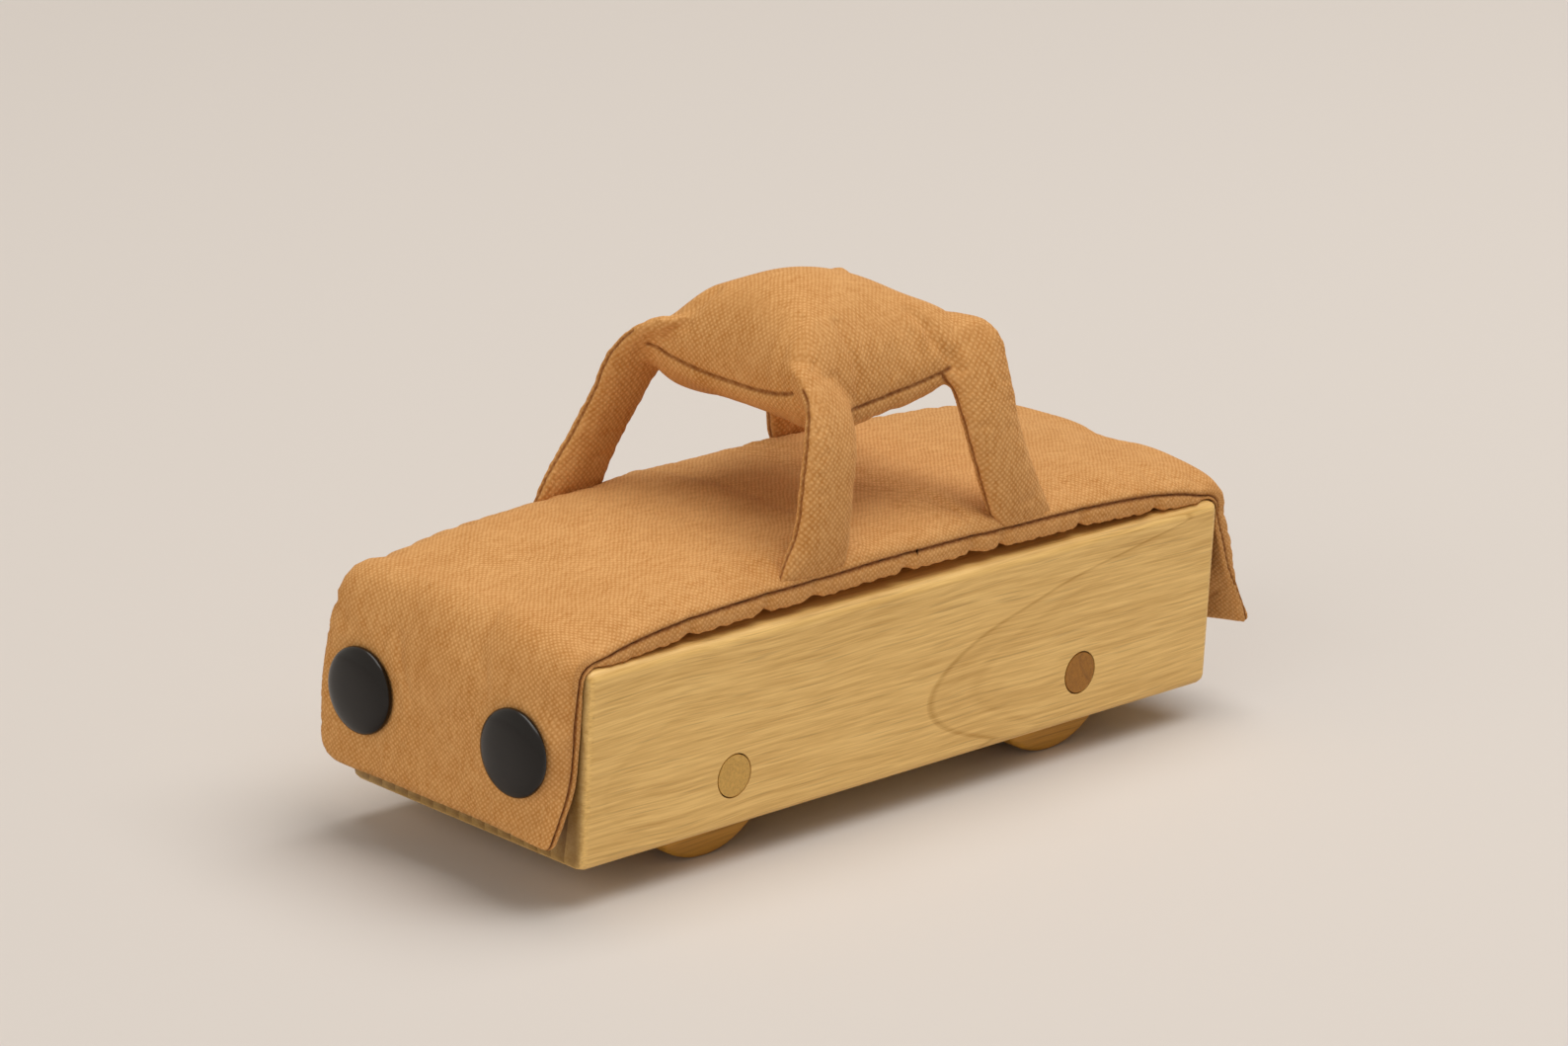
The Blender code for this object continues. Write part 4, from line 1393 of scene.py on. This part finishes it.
@dataclass(frozen=True)
class Studio:
    """A pale floor, a wide soft key light overhead on the car's left, a weak fill and an even surround."""

    floor_colour: str = "D3CECA"
    backdrop: str = "D8D1C6"
    surround: str = "FFE9D0"
    surround_strength: float = 0.25
    floor_size: float = 6.0
    lamp_distance: float = 2.0
    lamp_size: float = 1.9
    key_way: Point = (0.09, 0.27, 0.96)
    key_power: float = 40.0
    fill_way: Point = (0.20, -0.95, 0.30)
    fill_power: float = 18.0
    light_colour: Point = (1.0, 0.985, 0.955)

    def lamp(self, name: str, towards: Point, power: float, reflects: bool) -> None:
        """Adds a wide square lamp that faces the car.

        Args:
            name: The lamp's name.
            towards: The way from the car to the lamp.
            power: Its power in watts.
            reflects: Whether it shows in glossy surfaces.
        """
        lamp = bpy.data.lights.new(name, "AREA")
        lamp.shape = "SQUARE"
        lamp.size = self.lamp_size
        lamp.energy = power
        lamp.color = self.light_colour
        hung = link(name, lamp)
        hung.visible_glossy = reflects
        way = Vector(towards).normalized()
        faces = way.to_track_quat("Z", "Y").to_matrix().to_4x4()
        hung.matrix_world = Matrix.Translation(way * self.lamp_distance) @ faces

    def build(self) -> None:
        """Adds the floor, the lamps and the world."""
        bm = bmesh.new()
        bmesh.ops.create_grid(bm, x_segments=1, y_segments=1, size=self.floor_size)
        paper = Finish("matt_paper_floor").close({"Base Color": linear(self.floor_colour), "Roughness": 0.9})
        floor = shaped(bm, "studio_floor", paper)
        self.lamp("key", self.key_way, self.key_power, True)
        self.lamp("fill", self.fill_way, self.fill_power, False)

        scene = bpy.context.scene
        scene.world = scene.world or bpy.data.worlds.new("studio")
        scene.world.use_nodes = True
        tree = scene.world.node_tree
        tree.nodes.clear()
        rays = add_node(tree, "ShaderNodeLightPath", {}).outputs
        seen = rays["Is Camera Ray"]
        for other in ("Is Glossy Ray", "Is Transmission Ray"):
            either = {0: seen, 1: rays[other]}
            seen = add_node(tree, "ShaderNodeMath", either, operation="MAXIMUM").outputs[0]
        lights = []
        for colour, strength in ((self.surround, self.surround_strength), (self.backdrop, 1.0)):
            inputs = {"Color": linear(colour), "Strength": strength}
            lights.append(add_node(tree, "ShaderNodeBackground", inputs).outputs[0])
        mixed = add_node(tree, "ShaderNodeMixShader", {0: seen, 1: lights[0], 2: lights[1]})
        add_node(tree, "ShaderNodeOutputWorld", {"Surface": mixed.outputs[0]})
        scene.view_settings.view_transform = "Standard"


@dataclass(frozen=True)
class ToyCar:
    """The whole car, in the order in which it is dressed."""

    canvas: WovenCotton = WovenCotton("bias_woven_cotton_canvas")
    cabin_canvas: WovenCotton = WovenCotton(
        "bias_woven_cotton_canvas_cabin",
        Follows.PLANES,
        pitches=(0.84, 0.78, 0.75),
        contrasts=(1.15, 1.05, 0.95),
    )
    wheel_timber: SawnHardwood = SawnHardwood(
        "turned_hardwood", "CC9638", "8E601C", "573610", tree_axis=(-20.0, 60.0), ring_pitch=2.6
    )
    enamel: EnamelledCap = EnamelledCap("black_enamelled_steel")
    brass: StampedBrass = StampedBrass("stamped_brass")

    def cover_halves(self) -> list[CoverHalf]:
        """Returns the two halves of the cover, with their measured stations."""
        deck = ((0, 5.9), (11, 5.9), (21, 5.6), (42, 5.3), (53, 4.9), (66, 3.9), (75, 2.5))
        over = ((0, 5), (45, 5), (66, 4.7))
        rear_over = ((78, 4.4), (84, 4.3), (89, 3.9), (94, 3.4), (99, 2.9), (107, 2), (111, 1.7))
        front_near = ((80.5, 1.2), (84, 0.8), (90, 1.2), (98, 1.5), (105, 2.2), (110, 4.2), (115.5, 6.6))
        rear_near = ((80.5, 1.2), (84, 0.8), (87, 1), (90.7, 2.5), (98.9, 5.8), (107, 10.7), (111, 12.2))
        shared = {
            "strip": Run(((0, 3.6), (50, 3.6), (66, 3.3), (76, 2.5), (82, 1.6), (90, 1.3), (114, 1.2))),
            "under": Run(((0, 5.5), (70, 4.5), (80, 1.5), (90, 1), (114, 1))),
            "tucks": (-80.4, -58.0, -38.7, -26.4, -2.2, 15.5, 23.6, 45.7, 67.0, 81.0),
        }
        front = CoverHalf(
            end=End.FRONT,
            flap_length=29.9,
            near_seam=Run((*deck, *front_near)),
            middle_seam=Run((*deck, (80.5, 1.7), (84, 1.8), (90, 4), (94, 4.9), (98, 5), (115.5, 5.1))),
            far_seam=Run((*deck, (80.5, 1.9), (84, 2.2), (90, 4.2), (98, 5.7), (115.5, 5.6))),
            over=Run((*over, (78, 4.3), (84, 4), (89, 2.6), (94, 1.8), (114, 1.7))),
            **shared,
        )
        rear = CoverHalf(
            end=End.REAR,
            flap_length=25.8,
            near_seam=Run((*deck, *rear_near)),
            middle_seam=Run((*deck, (80.5, 1.6), (84, 1.4), (90, 3.2), (94, 3.8), (98, 4.2), (111, 5))),
            far_seam=Run((*deck, (80.5, 1.6), (84, 1.4), (90, 3), (98, 4), (111, 4.6))),
            over=Run((*over, *rear_over)),
            **shared,
        )
        return [front, rear]

    def build(self) -> None:
        """Makes and dresses every piece, and reports each one."""
        canvas = self.canvas.build()
        wheel_timber = self.wheel_timber.build()
        enamel = self.enamel.build()
        brass = self.brass.build()
        report(TimberBody().build())
        for half in self.cover_halves():
            report(half.build(canvas))
        report(CabinCloth().build(self.cabin_canvas.build()))
        for end in End:
            for side in Side:
                report(SnapCap(end, side).build(enamel))
                report(WoodWheel(end, side).build(wheel_timber))
                dress(f"{end.word}_{side.word}_snap_socket", brass)
                dress(f"{end.word}_{side.word}_screw_stud", brass)


def report(piece: Object) -> None:
    """Logs a finished piece and its size."""
    LOG.info("%s: %d faces", piece.name, len(piece.data.polygons))


def main() -> None:
    """Builds the scene in order."""
    logging.basicConfig(level=logging.INFO, format="%(name)s: %(message)s")
    Camera().build()
    Studio().build()
    ToyCar().build()


if __name__ == "__main__":
    main()
